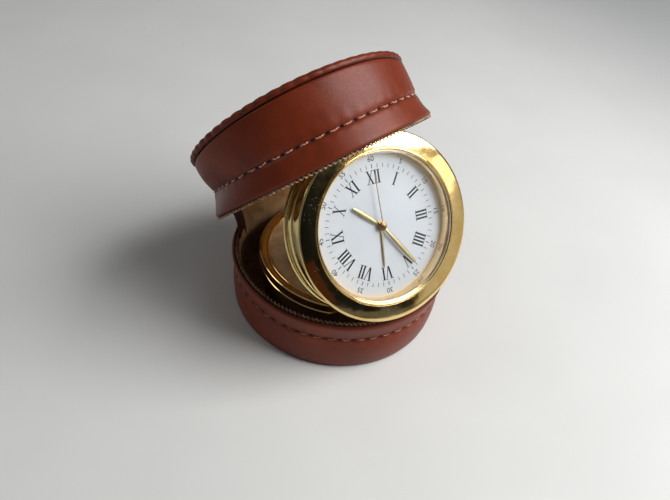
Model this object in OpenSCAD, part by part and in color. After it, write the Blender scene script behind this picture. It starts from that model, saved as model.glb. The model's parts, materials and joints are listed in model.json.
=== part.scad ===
// Travel alarm clock in a round zip case.
// A gold clock folds open like a book: its base lies in the lower half of the case and
// its head leans back to face the reader, with the lid standing open behind it.
// The origin is the middle of the underside. The dial faces -Y and +Z is up.

/* [Case] */
// radius of the leather at its open edge
case_r = 40; // [39:0.5:46]
// height of the lower half, from the table to its leather edge
case_h = 22.8; // [20:0.1:27]
// height of the lid at its middle, from its leather edge to the top
lid_h = 21.9; // [19:0.1:28]
// lean of the lid's top towards the hinge
top_lean = 7; // [0:0.1:8]
// lean of the lid's top towards its right side
top_side = 4.6; // [0:0.1:6]
// thickness of the leather at the open edge
leather_t = 1.5; // [1:0.1:2.2]
// thickness of the suede lining
lining_t = 1.15; // [0.8:0.05:1.6]
// gap between the two leather edges when the zip is closed
zip_gap = 2.7; // [2.5:0.1:5]
// distance from the middle of the case to its flat back
back_flat = 36.3; // [34:0.1:38]
// width of the leather strip over the hinge
strip_w = 29; // [18:0.5:30]
// thickness of the leather strip over the hinge
strip_t = 1.2; // [0.8:0.1:1.6]
// turn of the case hinge away from the back of the clock
case_turn = 16; // [0:1:25]
// angle that the lid stands open
lid_open = 47.2; // [0:0.1:52]
// height of the padded seat under the clock
seat_h = 14.8; // [10:0.1:18]
// radius of the padded seat
seat_r = 28; // [22:0.1:30]

/* [Zip] */
// spacing of the zip teeth
tooth_pitch = 1.6; // [1.2:0.1:2.4]
// height of a zip tooth above its tape
tooth_h = 0.9; // [0.6:0.05:1.1]
// angle from the hinge to the end of each row of teeth
zip_end = 52; // [45:1:60]
// angle from the hinge to the parked slider
slider_at = 47; // [44:1:50]
// length of the zip slider
slider_l = 8.5; // [6:0.1:11]
// length of the pull tab
pull_l = 16; // [10:0.5:22]

/* [Clock base] */
// radius of the clock base
base_r = 30; // [27:0.1:32]
// thickness of the clock base
base_t = 4.75; // [3.5:0.05:6]
// width of the rounded gold rim
rim_w = 2.4; // [1.6:0.1:3.5]
// depth of the inlaid plate below the rim
inlay_drop = 1.1; // [0.5:0.1:2]

/* [Clock head] */
// outer radius of the bezel
bezel_r = 31.8; // [30:0.1:34]
// depth of the head behind the bezel plane
head_depth = 14; // [13.6:0.1:17]
// angle that the dial leans back from upright
head_lean = 32.4; // [0:0.1:40]
// distance from the head's middle to its hinge pin
pivot_out = 26.8; // [24:0.1:27]
// radius of the glass
glass_r = 25.2; // [23:0.1:27]
// depth of the dial behind the bezel plane
dial_drop = 4.1; // [3.6:0.1:5]
// radius of the opening in the back of the head
recess_r = 23; // [21:0.1:24]

/* [Hands] */
// length of the hour hand
hour_l = 12.9; // [10:0.1:16]
// length of the minute hand
minute_l = 18.9; // [15:0.1:22]
// length of the second hand
second_l = 17.8; // [14:0.1:22]
// length of the alarm hand
alarm_l = 14.2; // [10:0.1:18]
// hour hand's angle, clockwise from twelve
hour_at = 310; // [0:1:360]
// minute hand's angle
minute_at = 145; // [0:1:360]
// second hand's angle
second_at = 359; // [0:1:360]
// alarm hand's angle
alarm_at = 184; // [0:1:360]

/* [Hidden] */
$fn = 96;
LEATHER = [0.47, 0.27, 0.21];
SUEDE = [0.50, 0.38, 0.26];
TAPE = [0.36, 0.27, 0.19];
BRASS = [0.71, 0.58, 0.34];
GOLD = [0.83, 0.70, 0.42];
ROSE = [0.80, 0.66, 0.48];
WHITE = [0.85, 0.87, 0.89];
GLASS = [0.85, 0.90, 0.92, 0.35];
DARK = [0.13, 0.13, 0.13];
STEEL = [0.70, 0.71, 0.72];
INLAY = [0.62, 0.49, 0.36];

fit = 0.05;                 // gap between pieces that are sewn or glued together
run = 0.05;                 // radial gap of a pin in its hole
apart = 0.3;                // gap between faces that pass each other

floor_t = 1.8;              // leather bottom
inner_r = case_r - 2;       // inside of the leather below the zip tape
tape_r = case_r - leather_t;
tape_t = 0.45;
tape_h = 6.6;
lining_r = inner_r - fit;
lining_top = case_h - 1.4;
gusset_from = 28;           // angles from the hinge over which the gussets are sewn
gusset_to = slider_at - 8.5;
mid_z = case_h + zip_gap / 2;
lid_z = case_h + zip_gap;
fold_y = back_flat + strip_t + 0.1;
fold_z = case_h + 0.4;

floor_z = floor_t + fit + lining_t;
seat_top = floor_z + fit + seat_h;
base_z = seat_top + fit;
base_top = base_z + base_t;
pin_r = 0.75;
barrel_r = 1.6;
pin_gap = 0.15;             // the pin lies this far above the base and below the head
pin_z = base_top + pin_gap;
chord = pivot_out - barrel_r - 0.5;
knuckle_w = 6;
hinge_w = 13;

plate_r = bezel_r - 4.0;    // inside of the head's shell
cover_z = -head_depth + 2.2;
cover_t = 1.1;
dial_t = 0.4;
dial_back = -dial_drop - dial_t;
post_r = 0.5;
slider_t = 1.1;             // thickness of the slider's outer plate
slider_out = case_r + 0.45; // where that plate begins
pull_out = 2.6;             // from there to the pin of the pull
pull_pin_r = 0.52;

// Places

module in_case() {
    rotate([0, 0, case_turn]) children();
}

module in_lid() {
    in_case()
    translate([0, fold_y, fold_z])
    rotate([-lid_open, 0, 0])
    translate([0, -fold_y, -fold_z])
    children();
}

// local x points out of the case, y along the zip towards the hinge, z up
module in_slider() {
    in_case()
    rotate([0, 0, 90 - slider_at])
    translate([0, 0, mid_z])
    children();
}

// local x and y lie in the dial, y towards twelve, z out of the dial
module in_head() {
    translate([0, -pivot_out, pin_z])
    rotate([90 - head_lean, 0, 0])
    translate([0, pivot_out, head_depth + pin_gap])
    children();
}

module clockwise(angle) {
    in_head() rotate([0, 0, -angle]) children();
}

// Shapes

// everything in front of the flat back
module ahead_of(y) {
    translate([-60, y - 120, -5]) cube([120, 120, 80]);
}

// round tray outline with a flat back
module flat_backed(r, y, z0, z1) {
    intersection() {
        translate([0, 0, z0]) cylinder(r = r, h = z1 - z0, $fn = 180);
        ahead_of(y);
    }
}

// leather side of either half: drawn in at the row of stitches, flared at the open edge
module leather_side(h, stitch, low_r) {
    difference() {
        intersection() {
            rotate_extrude($fn = 180) polygon([
                [0, 0.5], [low_r - 1.9, 0.5], [low_r - 0.9, 0.8], [low_r - 0.25, 1.7],
                [low_r, 3.2], [low_r + 0.1, stitch * 0.55], [case_r - 1.05, stitch - 2],
                [case_r - 1.35, stitch], [case_r - 1.0, stitch + 2], [case_r - 0.3, h - 3],
                [case_r, h - 1.2], [case_r - 0.1, h - 0.5], [case_r - 0.5, h - 0.05],
                [case_r - 0.8, h], [0, h]]);
            ahead_of(back_flat);
        }
        flat_backed(inner_r, back_flat - leather_t, floor_t + fit, h + 1);
        flat_backed(inner_r - 0.6, back_flat - leather_t, -1, floor_t + 1);
        flat_backed(tape_r, back_flat - leather_t, h - tape_h, h + 1);
    }
}

// wall of cloth round the case, open towards the hinge
module tape_band(r, t, z0, z1, from) {
    difference() {
        translate([0, 0, z0]) cylinder(r = r, h = z1 - z0, $fn = 180);
        translate([0, 0, z0 - 1]) cylinder(r = r - t, h = z1 - z0 + 2, $fn = 180);
        translate([0, 0, z0 - 1]) linear_extrude(z1 - z0 + 2) polygon([
            [0, 0], [80 * sin(from), 80 * cos(from)], [0, 90], [-80 * sin(from), 80 * cos(from)]]);
    }
}

// row of zip teeth standing on the edge of the tape
module tooth_row(z0) {
    r = tape_r - tape_t / 2;
    arc = 360 - 2 * zip_end;
    count = floor(arc * PI * r / 180 / tooth_pitch);
    for (i = [0 : count])
        rotate([0, 0, 90 + zip_end + arc * i / count])
        translate([r - 0.6, -tooth_pitch * 0.3, z0])
        cube([1.2, tooth_pitch * 0.6, tooth_h]);
}

module ring(r, hole, z0, z1) {
    difference() {
        translate([0, 0, z0]) cylinder(r = r, h = z1 - z0);
        translate([0, 0, z0 - 1]) cylinder(r = hole, h = z1 - z0 + 2);
    }
}

// disc of the clock base, cut straight along the hinge
module base_disc(r, cut, z0, z1) {
    intersection() {
        translate([0, 0, z0]) cylinder(r = r, h = z1 - z0, $fn = 180);
        translate([-60, -cut, z0 - 1]) cube([120, 120, z1 - z0 + 2]);
    }
}

module along_x(r, x0, x1) {
    translate([x0, 0, 0]) rotate([0, 90, 0]) cylinder(r = r, h = x1 - x0, $fn = 48);
}

// Case, lower half

module case_wall() {
    color(LEATHER) in_case() leather_side(case_h, 15.2, case_r - 0.8);
}

module case_bottom() {
    color(LEATHER) in_case() flat_backed(inner_r - 0.65, back_flat - leather_t - fit, 0, floor_t);
}

module case_lining() {
    color(SUEDE) in_case() difference() {
        flat_backed(lining_r, back_flat - leather_t - fit, floor_t + fit, lining_top);
        flat_backed(lining_r - lining_t, back_flat - leather_t - fit - lining_t, floor_z, lining_top + 1);
    }
}

// padded block with a drawn-in waist and a soft rounded edge
module clock_seat() {
    z = floor_z + fit;
    color(SUEDE) rotate_extrude() polygon([
        [0, z], [seat_r - 1.0, z], [seat_r - 0.3, z + 0.8], [seat_r - 0.1, z + seat_h * 0.35],
        [seat_r, z + seat_h * 0.7], [seat_r - 0.3, z + seat_h - 1.6],
        [seat_r - 0.9, z + seat_h - 0.6], [seat_r - 1.9, z + seat_h], [0, z + seat_h]]);
}

module case_zip_tape() {
    color(TAPE) in_case()
        tape_band(tape_r - fit, tape_t, case_h - tape_h + fit, case_h + 0.05, 27);
}

module case_zip_teeth() {
    color(BRASS) in_case() tooth_row(case_h + 0.05);
}

module case_back_strip() {
    color(LEATHER) in_case()
        translate([-strip_w / 2, back_flat + fit, case_h - 11])
        cube([strip_w, strip_t, 11.2]);
}

// Lid, drawn closed and swung open about the fold

module from_lid_edge() {
    in_lid() translate([0, 0, lid_z]) children();
}

// the leaning plane in which the lid's wall ends
module on_wall_top() {
    translate([0, 0, lid_h - 3.1]) rotate([-top_lean, top_side, 0]) children();
}

module below_wall_top(drop) {
    on_wall_top() translate([-80, -80, -60 - drop]) cube([160, 160, 60]);
}

module lid_wall() {
    h = lid_h + 8;
    color(LEATHER) from_lid_edge() difference() {
        intersection() {
            rotate_extrude($fn = 180) polygon([
                [0, 0], [case_r - 0.8, 0], [case_r - 0.2, 0.3], [case_r + 0.1, 1.2],
                [case_r + 0.1, 4], [case_r - 0.1, 6.8], [case_r - 0.4, 8.6], [case_r - 0.05, 10.4],
                [case_r + 0.4, 13.5], [case_r + 0.5, 17], [case_r + 0.5, h], [0, h]]);
            ahead_of(back_flat);
            below_wall_top(0);
        }
        flat_backed(inner_r, back_flat - leather_t, -1, h + 1);
        flat_backed(tape_r, back_flat - leather_t, -1, tape_h);
    }
}

// top panel with its sewn bead standing proud of the groove below it
module lid_top() {
    bead = 1.35;
    r = case_r + 0.85 - bead;
    color(LEATHER) from_lid_edge() intersection() {
        on_wall_top() rotate_extrude($fn = 180) polygon(concat(
            [[0, fit], [r - 0.2, fit]],
            [for (a = [-75 : 15 : 90]) [r + bead * cos(a), bead + 0.15 + bead * sin(a)]],
            [[r - 1.2, 2.75], [r - 2.4, 3], [r - 14, 3.6], [0, 4]]));
        ahead_of(back_flat + 0.3);
    }
}

module lid_lining() {
    h = lid_h + 8;
    color(SUEDE) from_lid_edge() difference() {
        intersection() {
            flat_backed(lining_r, back_flat - leather_t - fit, 1.4, h);
            below_wall_top(fit);
        }
        intersection() {
            flat_backed(lining_r - lining_t, back_flat - leather_t - fit - lining_t, 0, h);
            below_wall_top(fit + lining_t);
        }
    }
}

module lid_zip_tape() {
    color(TAPE) from_lid_edge() tape_band(tape_r - fit, tape_t, -0.05, tape_h - fit, 27);
}

module lid_zip_teeth() {
    color(BRASS) from_lid_edge() tooth_row(-0.05 - tooth_h);
}

module lid_back_strip() {
    color(LEATHER) in_lid()
        translate([-strip_w / 2, back_flat + fit, fold_z + 0.2])
        cube([strip_w, strip_t, 11]);
}

// point on the rim at an angle from the hinge: at = 0 on the lower edge, 1 on the lid's edge
function rim_low(a, r) = [r * sin(a), r * cos(a), case_h + 0.3];
function rim_high(a, r) = let (
    y = r * cos(a) - fold_y,
    z = lid_z - 0.4 - fold_z)
    [r * sin(a), fold_y + y * cos(lid_open) + z * sin(lid_open),
     fold_z - y * sin(lid_open) + z * cos(lid_open)];
function web(a, t, r) = let (
    low = rim_low(a, r),
    high = rim_high(a, r),
    tuck = 1.6 * sin(180 * t))
    low * (1 - t) + high * t - tuck * [sin(a), cos(a), 0];

// leather web that joins the two rims beside the hinge and keeps the lid from falling back
module gusset(side) {
    angles = [for (i = [0 : 8]) gusset_from + (gusset_to - gusset_from) * i / 8];
    steps = [for (j = [0 : 6]) j / 6];
    n = len(steps);
    sheet = [for (r = [tape_r - 0.75, tape_r - 0.15]) for (a = angles) for (t = steps)
        let (p = web(a, t, r)) [p.x * side, p.y, p.z]];
    m = len(angles) * n;
    last = len(angles) - 1;
    skin = concat(
        [for (i = [0 : last - 1]) for (j = [0 : n - 2]) let (k = i * n + j)
            [k, k + 1, k + n + 1, k + n]],
        [for (i = [0 : last - 1]) for (j = [0 : n - 2]) let (k = m + i * n + j)
            [k, k + n, k + n + 1, k + 1]],
        [for (i = [0 : last - 1]) let (k = i * n) [k, k + n, m + k + n, m + k]],
        [for (i = [0 : last - 1]) let (k = i * n + n - 1) [k, m + k, m + k + n, k + n]],
        [for (j = [0 : n - 2]) [j, m + j, m + j + 1, j + 1]],
        [for (j = [0 : n - 2]) let (k = last * n + j) [k, k + 1, m + k + 1, m + k]]);
    polyhedron(sheet, side > 0 ? skin : [for (f = skin) [f[3], f[2], f[1], f[0]]]);
}

module side_gussets() {
    color(LEATHER) in_case() for (side = [-1, 1]) gusset(side);
}

// Zip slider and pull

module zip_slider() {
    out = slider_out;
    inside = tape_r - tape_t / 2 - 0.6 - apart;
    l = slider_l / 2;
    color(BRASS) in_slider() difference() {
        union() {
            // outer plate, tapered towards its leading end
            translate([out, 0, 0]) rotate([90, 0, 90]) linear_extrude(slider_t) polygon([
                [-l, -1.9], [-l * 0.4, -3.2], [l * 0.7, -3.2], [l, -2.2],
                [l, 2.2], [l * 0.7, 3.2], [-l * 0.4, 3.2], [-l, 1.9]]);
            // inner plate
            translate([inside - 0.9, 0, 0]) rotate([90, 0, 90]) linear_extrude(0.9) polygon([
                [-l, -1.4], [-l * 0.4, -2.3], [l, -2.3], [l, 2.3], [-l * 0.4, 2.3], [-l, 1.4]]);
            // thin neck between the rows of teeth
            translate([inside - 0.1, -1.4, -0.2]) cube([out - inside + 0.2, 2.8, 0.4]);
            // bridge that holds the pull
            translate([out + 1, -1.5, -1]) cube([pull_out, 3, 2]);
        }
        translate([out + pull_out, 0, -2]) cylinder(r = pull_pin_r + run, h = 4, $fn = 32);
    }
}

module zip_pull() {
    color(BRASS) in_slider() translate([slider_out + pull_out, 0, 0]) {
        translate([0, 0, -2.2]) cylinder(r = pull_pin_r, h = 4.4, $fn = 32);
        for (z = [-2.2, 1.3]) {
            translate([0, 0, z]) cylinder(r = pull_out - slider_t - apart, h = 0.9, $fn = 32);
            translate([-0.5, 0, z]) cube([1, 4, 0.9]);
        }
        difference() {
            translate([-0.5, 0, 0]) rotate([90, 0, 90]) linear_extrude(1) polygon([
                [3, -2.2], [5, -2.6], [pull_l - 2, -3.1], [pull_l - 0.6, -2.4], [pull_l, -1],
                [pull_l, 1], [pull_l - 0.6, 2.4], [pull_l - 2, 3.1], [5, 2.6], [3, 2.2]]);
            translate([-2, pull_l - 3.6, 0]) along_x(1.2, 0, 4);
        }
    }
}

// Clock base

module base_ring() {
    rim = rim_w / 2;
    color(GOLD) difference() {
        union() {
            base_disc(base_r - 0.25, chord, base_z, base_top - 0.9);
            intersection() {
                rotate_extrude($fn = 180) polygon(concat(
                    [[base_r - rim_w, base_top - 2]],
                    [for (a = [180 : -15 : 0])
                        [base_r - rim + rim * cos(a), base_top - 0.9 + 0.9 * sin(a)]],
                    [[base_r, base_top - 2]]));
                translate([-60, -chord, 0]) cube([120, 120, 60]);
            }
            intersection() {
                base_disc(base_r - 0.6, chord, base_top - 2, base_top);
                translate([-60, -chord, 0]) cube([120, rim_w, 60]);
            }
        }
        base_disc(base_r - rim_w, chord - rim_w, base_z - 1, base_top + 1);
        // seat of the hinge leaf
        translate([-knuckle_w - fit, -chord - 1, base_top - 2.4])
            cube([2 * (knuckle_w + fit), rim_w + 2, 5]);
    }
}

module base_underplate() {
    color(STEEL) base_disc(base_r - rim_w - fit, chord - rim_w - fit, base_z, base_top - 2.4 - fit);
}

module base_inlay() {
    color(INLAY) base_disc(base_r - rim_w - fit, chord - rim_w - fit, base_top - 2.4,
        base_top - inlay_drop);
}

module base_hinge_leaf() {
    color(GOLD) translate([0, -pivot_out, pin_z]) difference() {
        union() {
            along_x(barrel_r, -knuckle_w, knuckle_w);
            translate([-knuckle_w, 0, -pin_gap - 2.4 + fit])
                cube([2 * knuckle_w, pivot_out - chord + rim_w - 2 * fit, 1.3]);
        }
        along_x(pin_r, -20, 20);
    }
}

module hinge_pin() {
    color(STEEL) translate([0, -pivot_out, pin_z]) along_x(pin_r, -hinge_w - 0.2, hinge_w + 0.2);
}

module head_hinge_leaves() {
    color(GOLD) in_head() translate([0, -pivot_out, -head_depth - pin_gap]) difference() {
        for (side = [-1, 1]) {
            x0 = side > 0 ? knuckle_w + apart : -hinge_w;
            x1 = side > 0 ? hinge_w : -knuckle_w - apart;
            along_x(barrel_r, x0, x1);
            translate([x0, -1.1, 0]) cube([x1 - x0, 2.2, pin_gap + 2.2 - fit]);
            translate([x0, -1.9, pin_gap + 1.7]) cube([x1 - x0, 3.8, 0.5 - fit]);
        }
        along_x(pin_r + run, -20, 20);
    }
}

// Clock head, drawn about the middle of the bezel plane

// outline of a rounded rib that stands out from r0 to r1 between two heights
function rib(r0, r1, z0, z1) = [for (a = [-90 : 18 : 90])
    [r0 + (r1 - r0) * pow(cos(a), 0.5), (z0 + z1) / 2 + (z1 - z0) / 2 * sin(a)]];

// ribbed shell with a rolled rear edge
module head_shell() {
    groove = bezel_r - 2;
    back = -head_depth;
    color(GOLD) in_head() difference() {
        rotate_extrude($fn = 180) polygon(concat(
            [[recess_r, back], [groove, back]],
            rib(groove, bezel_r - 0.6, back, back + 2),
            rib(groove, bezel_r - 1.1, back + 2.3, -8.3),
            rib(groove, bezel_r - 1.1, -8, -2.3),
            [[groove, -2], [plate_r, -2], [plate_r, cover_z], [recess_r, cover_z]]));
        // notch for the hinge
        translate([-hinge_w - 0.3, -pivot_out - 2.1, back - 1]) cube([2 * hinge_w + 0.6, 4.2, 3.3]);
    }
}

// broad polished bezel with a thin bead round the glass
module bezel() {
    color(GOLD) in_head() rotate_extrude($fn = 180) polygon(concat(
        [[glass_r + fit, -1.4], [glass_r + fit, 0.45]],
        [for (a = [150 : -30 : 30]) [glass_r + 0.35 + 0.3 * cos(a), 0.45 + 0.25 * sin(a)]],
        [[glass_r + 0.75, 0.25], [bezel_r - 0.7, 0.05], [bezel_r - 0.2, -0.15],
         [bezel_r, -0.6], [bezel_r - 0.1, -1.3], [bezel_r - 0.6, -1.75], [bezel_r - 2, -1.95],
         [plate_r - 0.1, -1.95], [plate_r - 0.1, -1.4]]));
}

module glass() {
    color(GLASS) in_head() rotate_extrude($fn = 120) polygon([
        [0, -0.35], [glass_r, -0.35], [glass_r, 0.35], [glass_r * 0.6, 0.5], [0, 0.55]]);
}

// inner ring between the glass and the dial
module inner_ring() {
    color(ROSE) in_head() rotate_extrude($fn = 180) polygon([
        [glass_r - 0.9, -dial_drop], [plate_r - fit, -dial_drop], [plate_r - fit, -2 - fit],
        [glass_r + fit, -2 - fit], [glass_r + fit, -1.45], [glass_r, -0.4], [glass_r - 0.35, -0.4],
        [glass_r - 0.7, -1.2]]);
}

module dial() {
    color(WHITE) in_head() ring(plate_r - fit, post_r + 0.6, dial_back, -dial_drop - 0.02);
}

module movement_holder() {
    color(WHITE) in_head() difference() {
        ring(plate_r - fit, recess_r - 0.4, cover_z + cover_t + fit, dial_back - 0.02);
        for (a = [90, 210, 330]) rotate([0, 0, a]) translate([recess_r + 1, 0, cover_z])
            cylinder(r = 0.7, h = 4.3, $fn = 24);
    }
}

module movement() {
    top = dial_back - 0.02;
    low = cover_z + cover_t + fit;
    color(DARK) in_head() difference() {
        union() {
            translate([-15, -4, low]) cube([30, 19, top - low]);
            translate([-15, -16.4, top - 1]) cube([30, 13, 1]);
        }
        for (x = [-8, 8]) translate([x, 6, low - 1]) cylinder(r = 1 + run, h = 3, $fn = 32);
        translate([0, 0, low - 1]) cylinder(r = post_r, h = 20, $fn = 32);
    }
}

module hand_post() {
    color(BRASS) in_head() {
        translate([0, 0, cover_z + cover_t + fit])
            cylinder(r = post_r, h = -1.85 - cover_z - cover_t, $fn = 32);
        translate([0, 0, dial_back]) cylinder(r = post_r + 0.5, h = dial_t + 0.2, $fn = 32);
    }
}

module back_cover() {
    color(DARK) in_head() difference() {
        translate([0, 0, cover_z + fit]) cylinder(r = plate_r - fit, h = cover_t - fit);
        for (x = [-8, 8]) translate([x, 6, cover_z - 1]) cylinder(r = 1.3, h = 3, $fn = 32);
        for (a = [90, 210, 330]) rotate([0, 0, a]) translate([recess_r + 1, 0, cover_z - 1])
            cylinder(r = 0.8, h = 3, $fn = 24);
        translate([-6.2, -18.2, cover_z - 1]) cube([12.4, 12.4, 3]);
        translate([12, -13.5, cover_z - 1]) cube([2.2, 7, 3]);
    }
}

module battery() {
    color(STEEL) in_head() translate([0, -12, cover_z + 0.4])
        cylinder(r = 5.8, h = dial_back - 1.04 - cover_z - 0.4, $fn = 64);
}

module battery_door() {
    color(DARK) in_head() {
        translate([-7.2, -19.4, cover_z - 0.9]) cube([14.4, 14.6, 0.85]);
        for (y = [-16.6 : 1.4 : -12]) translate([-4, y, cover_z - 1.3]) cube([8, 0.6, 0.5]);
    }
}

module sounder() {
    color(BRASS) in_head() translate([-12.2, -12, cover_z + cover_t + fit])
        cylinder(r = 5, h = 1.2, $fn = 64);
}

module cover_screws() {
    color(STEEL) in_head() for (a = [90, 210, 330])
        rotate([0, 0, a]) translate([recess_r + 1, 0, cover_z]) {
            translate([0, 0, fit]) cylinder(r = 0.65, h = 4, $fn = 24);
        }
}

// knurled knob in the recess, on a stem that runs in the movement
module knob(x) {
    in_head() translate([x, 6, cover_z]) {
        translate([0, 0, -1.9]) cylinder(r = 4, h = 1.6, $fn = 12);
        translate([0, 0, -1]) cylinder(r = 1, h = 1 + cover_t + 1.6, $fn = 32);
    }
}

module time_knob() {
    color(DARK) knob(-8);
}

module alarm_knob() {
    color(DARK) knob(8);
}

module alarm_switch() {
    color(STEEL) in_head() {
        translate([12.3, -13.2, cover_z - 0.5]) cube([1.6, 3, 1.2]);
        translate([11.6, -13.4, cover_z - 1.5]) cube([3, 3.4, 1.1]);
    }
}

// Hands: a bored hub with a tapered blade, each a little above the last

module hand(z, hub, l, w, tail) {
    translate([0, 0, -dial_drop + z]) difference() {
        union() {
            cylinder(r = hub, h = 0.3, $fn = 48);
            linear_extrude(0.25) polygon([
                [-w * 0.3, 0], [-w / 2, l * 0.45], [-w * 0.4, l * 0.92], [0, l],
                [w * 0.4, l * 0.92], [w / 2, l * 0.45], [w * 0.3, 0], [w * 0.3, -tail],
                [-w * 0.3, -tail]]);
        }
        translate([0, 0, -1]) cylinder(r = post_r + run, h = 3, $fn = 32);
    }
}

module alarm_hand() {
    color(GOLD) clockwise(alarm_at) hand(0.35, 1.7, alarm_l, 0.8, 0);
}

module hour_hand() {
    color(GOLD) clockwise(hour_at) hand(0.85, 1.6, hour_l, 1.15, 2.4);
}

module minute_hand() {
    color(GOLD) clockwise(minute_at) hand(1.35, 1.5, minute_l, 1.15, 2.4);
}

module second_hand() {
    color(GOLD) clockwise(second_at) {
        hand(1.85, 1.3, second_l, 0.45, 4);
        translate([0, 0, -dial_drop + 2.15]) difference() {
            cylinder(r = 0.95, h = 0.5, $fn = 48);
            translate([0, 0, -1]) cylinder(r = post_r + run, h = 1.2, $fn = 32);
        }
    }
}

case_wall();
case_bottom();
case_lining();
clock_seat();
case_zip_tape();
case_zip_teeth();
case_back_strip();
lid_wall();
lid_top();
lid_lining();
lid_zip_tape();
lid_zip_teeth();
lid_back_strip();
side_gussets();
zip_slider();
zip_pull();
base_ring();
base_underplate();
base_inlay();
base_hinge_leaf();
hinge_pin();
head_hinge_leaves();
head_shell();
bezel();
glass();
inner_ring();
dial();
movement_holder();
movement();
hand_post();
back_cover();
battery();
battery_door();
sounder();
cover_screws();
time_knob();
alarm_knob();
alarm_switch();
alarm_hand();
hour_hand();
minute_hand();
second_hand();
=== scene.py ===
import json
import math
import time
from types import SimpleNamespace

import bmesh
import bpy
import numpy as np
from mathutils import Matrix, Vector


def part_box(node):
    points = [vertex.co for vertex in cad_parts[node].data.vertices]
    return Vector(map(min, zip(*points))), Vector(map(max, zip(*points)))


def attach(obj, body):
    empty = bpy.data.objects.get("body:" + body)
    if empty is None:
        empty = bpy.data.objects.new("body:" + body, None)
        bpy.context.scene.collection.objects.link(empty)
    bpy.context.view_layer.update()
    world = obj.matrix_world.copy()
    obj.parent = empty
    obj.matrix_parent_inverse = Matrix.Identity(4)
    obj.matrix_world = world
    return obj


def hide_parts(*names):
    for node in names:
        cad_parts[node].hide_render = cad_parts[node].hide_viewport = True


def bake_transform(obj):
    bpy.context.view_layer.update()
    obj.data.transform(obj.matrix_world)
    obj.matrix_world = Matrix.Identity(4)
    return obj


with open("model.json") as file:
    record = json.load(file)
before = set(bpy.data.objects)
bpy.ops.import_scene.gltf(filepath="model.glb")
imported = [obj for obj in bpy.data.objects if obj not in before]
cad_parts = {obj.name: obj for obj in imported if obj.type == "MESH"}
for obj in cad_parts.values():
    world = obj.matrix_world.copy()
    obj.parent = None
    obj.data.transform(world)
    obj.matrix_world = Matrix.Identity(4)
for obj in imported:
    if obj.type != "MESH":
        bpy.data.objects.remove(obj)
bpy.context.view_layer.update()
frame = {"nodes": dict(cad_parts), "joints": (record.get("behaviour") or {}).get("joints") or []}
startedAt = time.time()
mm = 0.001
sceneNow = bpy.context.scene
joints = {j["name"]: j for j in frame["joints"]}


def report(stage):
    print("stage", stage, round(time.time() - startedAt, 1), "s")


# the frame: where the case, lid and clock head stand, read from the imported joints

def unit(v):
    return v / np.linalg.norm(v, axis=-1, keepdims=True)


def jointPoint(name):
    return np.array(joints[name]["pos_m"]) / mm


def jointAxis(name):
    return unit(np.array(joints[name]["axis"], float))


upward = np.array([0.0, 0.0, 1.0])
caseAcross = jointAxis("lid_hinge")
caseBack = np.cross(upward, caseAcross)
foldY = float(jointPoint("lid_hinge") @ caseBack)
foldZ = float(jointPoint("lid_hinge")[2])
dialCentre = jointPoint("minute_hand_turn")
dialOut = -jointAxis("minute_hand_turn")
dialUp = jointAxis("battery_door_slide")
dialAcross = np.cross(dialUp, dialOut)
pinOut = float((dialCentre - jointPoint("head_fold")) @ dialUp)     # hinge pin from the head's axis
lidOpen = math.radians(47.2)                                        # how far the lid stands open


def swung(y, z, angle=lidOpen):
    # turned back about the lid's fold
    c, s = math.cos(angle), math.sin(angle)
    return foldY + (y - foldY) * c + (z - foldZ) * s, foldZ - (y - foldY) * s + (z - foldZ) * c


def inCase(p):
    return p[..., :1] * caseAcross + p[..., 1:2] * caseBack + p[..., 2:] * upward


def inLid(p):
    # p is drawn on the closed lid
    return inCase(np.stack([p[..., 0], *swung(p[..., 1], p[..., 2])], -1))


def inHead(p):
    return dialCentre + p[..., :1] * dialAcross + p[..., 1:2] * dialUp + p[..., 2:] * dialOut


def fromHeadAxis(p):
    return (p - dialCentre) @ dialAcross, (p - dialCentre) @ dialUp


def turned(points, degrees, out=0.0):
    # moved out towards twelve, and turned clockwise
    c, s = math.cos(math.radians(degrees)), math.sin(math.radians(degrees))
    x, y = points[..., 0], points[..., 1] + out
    return np.stack([x * c + y * s, y * c - x * s], -1)


def clockwise(degrees):
    # a place function for what is drawn pointing at twelve
    return lambda p: inHead(np.concatenate([turned(p, degrees), p[..., 2:]], -1))


# meshes, with all points in millimetres

def linked(name, data):
    thing = bpy.data.objects.new(name, data)
    sceneNow.collection.objects.link(thing)
    return thing


def newMesh(name, points, faces):
    mesh = bpy.data.meshes.new(name)
    mesh.from_pydata((np.asarray(points, float) * mm).tolist(), [], [list(face) for face in faces])
    return mesh


def cleanMesh(mesh, merge, sharp, simplify):
    # points nearer than merge become one, normals face outward, and edges over sharp degrees stay hard
    build = bmesh.new()
    build.from_mesh(mesh)
    bmesh.ops.remove_doubles(build, verts=build.verts, dist=merge * mm)
    simplify(build)
    bmesh.ops.recalc_face_normals(build, faces=build.faces)
    build.to_mesh(mesh)
    build.free()
    mesh.polygons.foreach_set("use_smooth", [True] * len(mesh.polygons))
    mesh.set_sharp_from_angle(angle=math.radians(sharp))


def gridFaces(rows, columns, loopRows=False, loopColumns=False, ends=False):
    # quads between neighbours of a grid of points, closed round where asked
    # ends closes the first and the last row with a face each
    i, j = np.meshgrid(np.arange(rows - (not loopRows)), np.arange(columns - (not loopColumns)), indexing="ij")
    i2, j2 = (i + 1) % rows, (j + 1) % columns
    quads = np.stack([i * columns + j, i2 * columns + j, i2 * columns + j2, i * columns + j2], -1)
    last = (rows - 1) * columns
    caps = [list(range(columns)), list(range(last, last + columns))]
    return quads.reshape(-1, 4).tolist() + (caps if ends else [])


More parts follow.
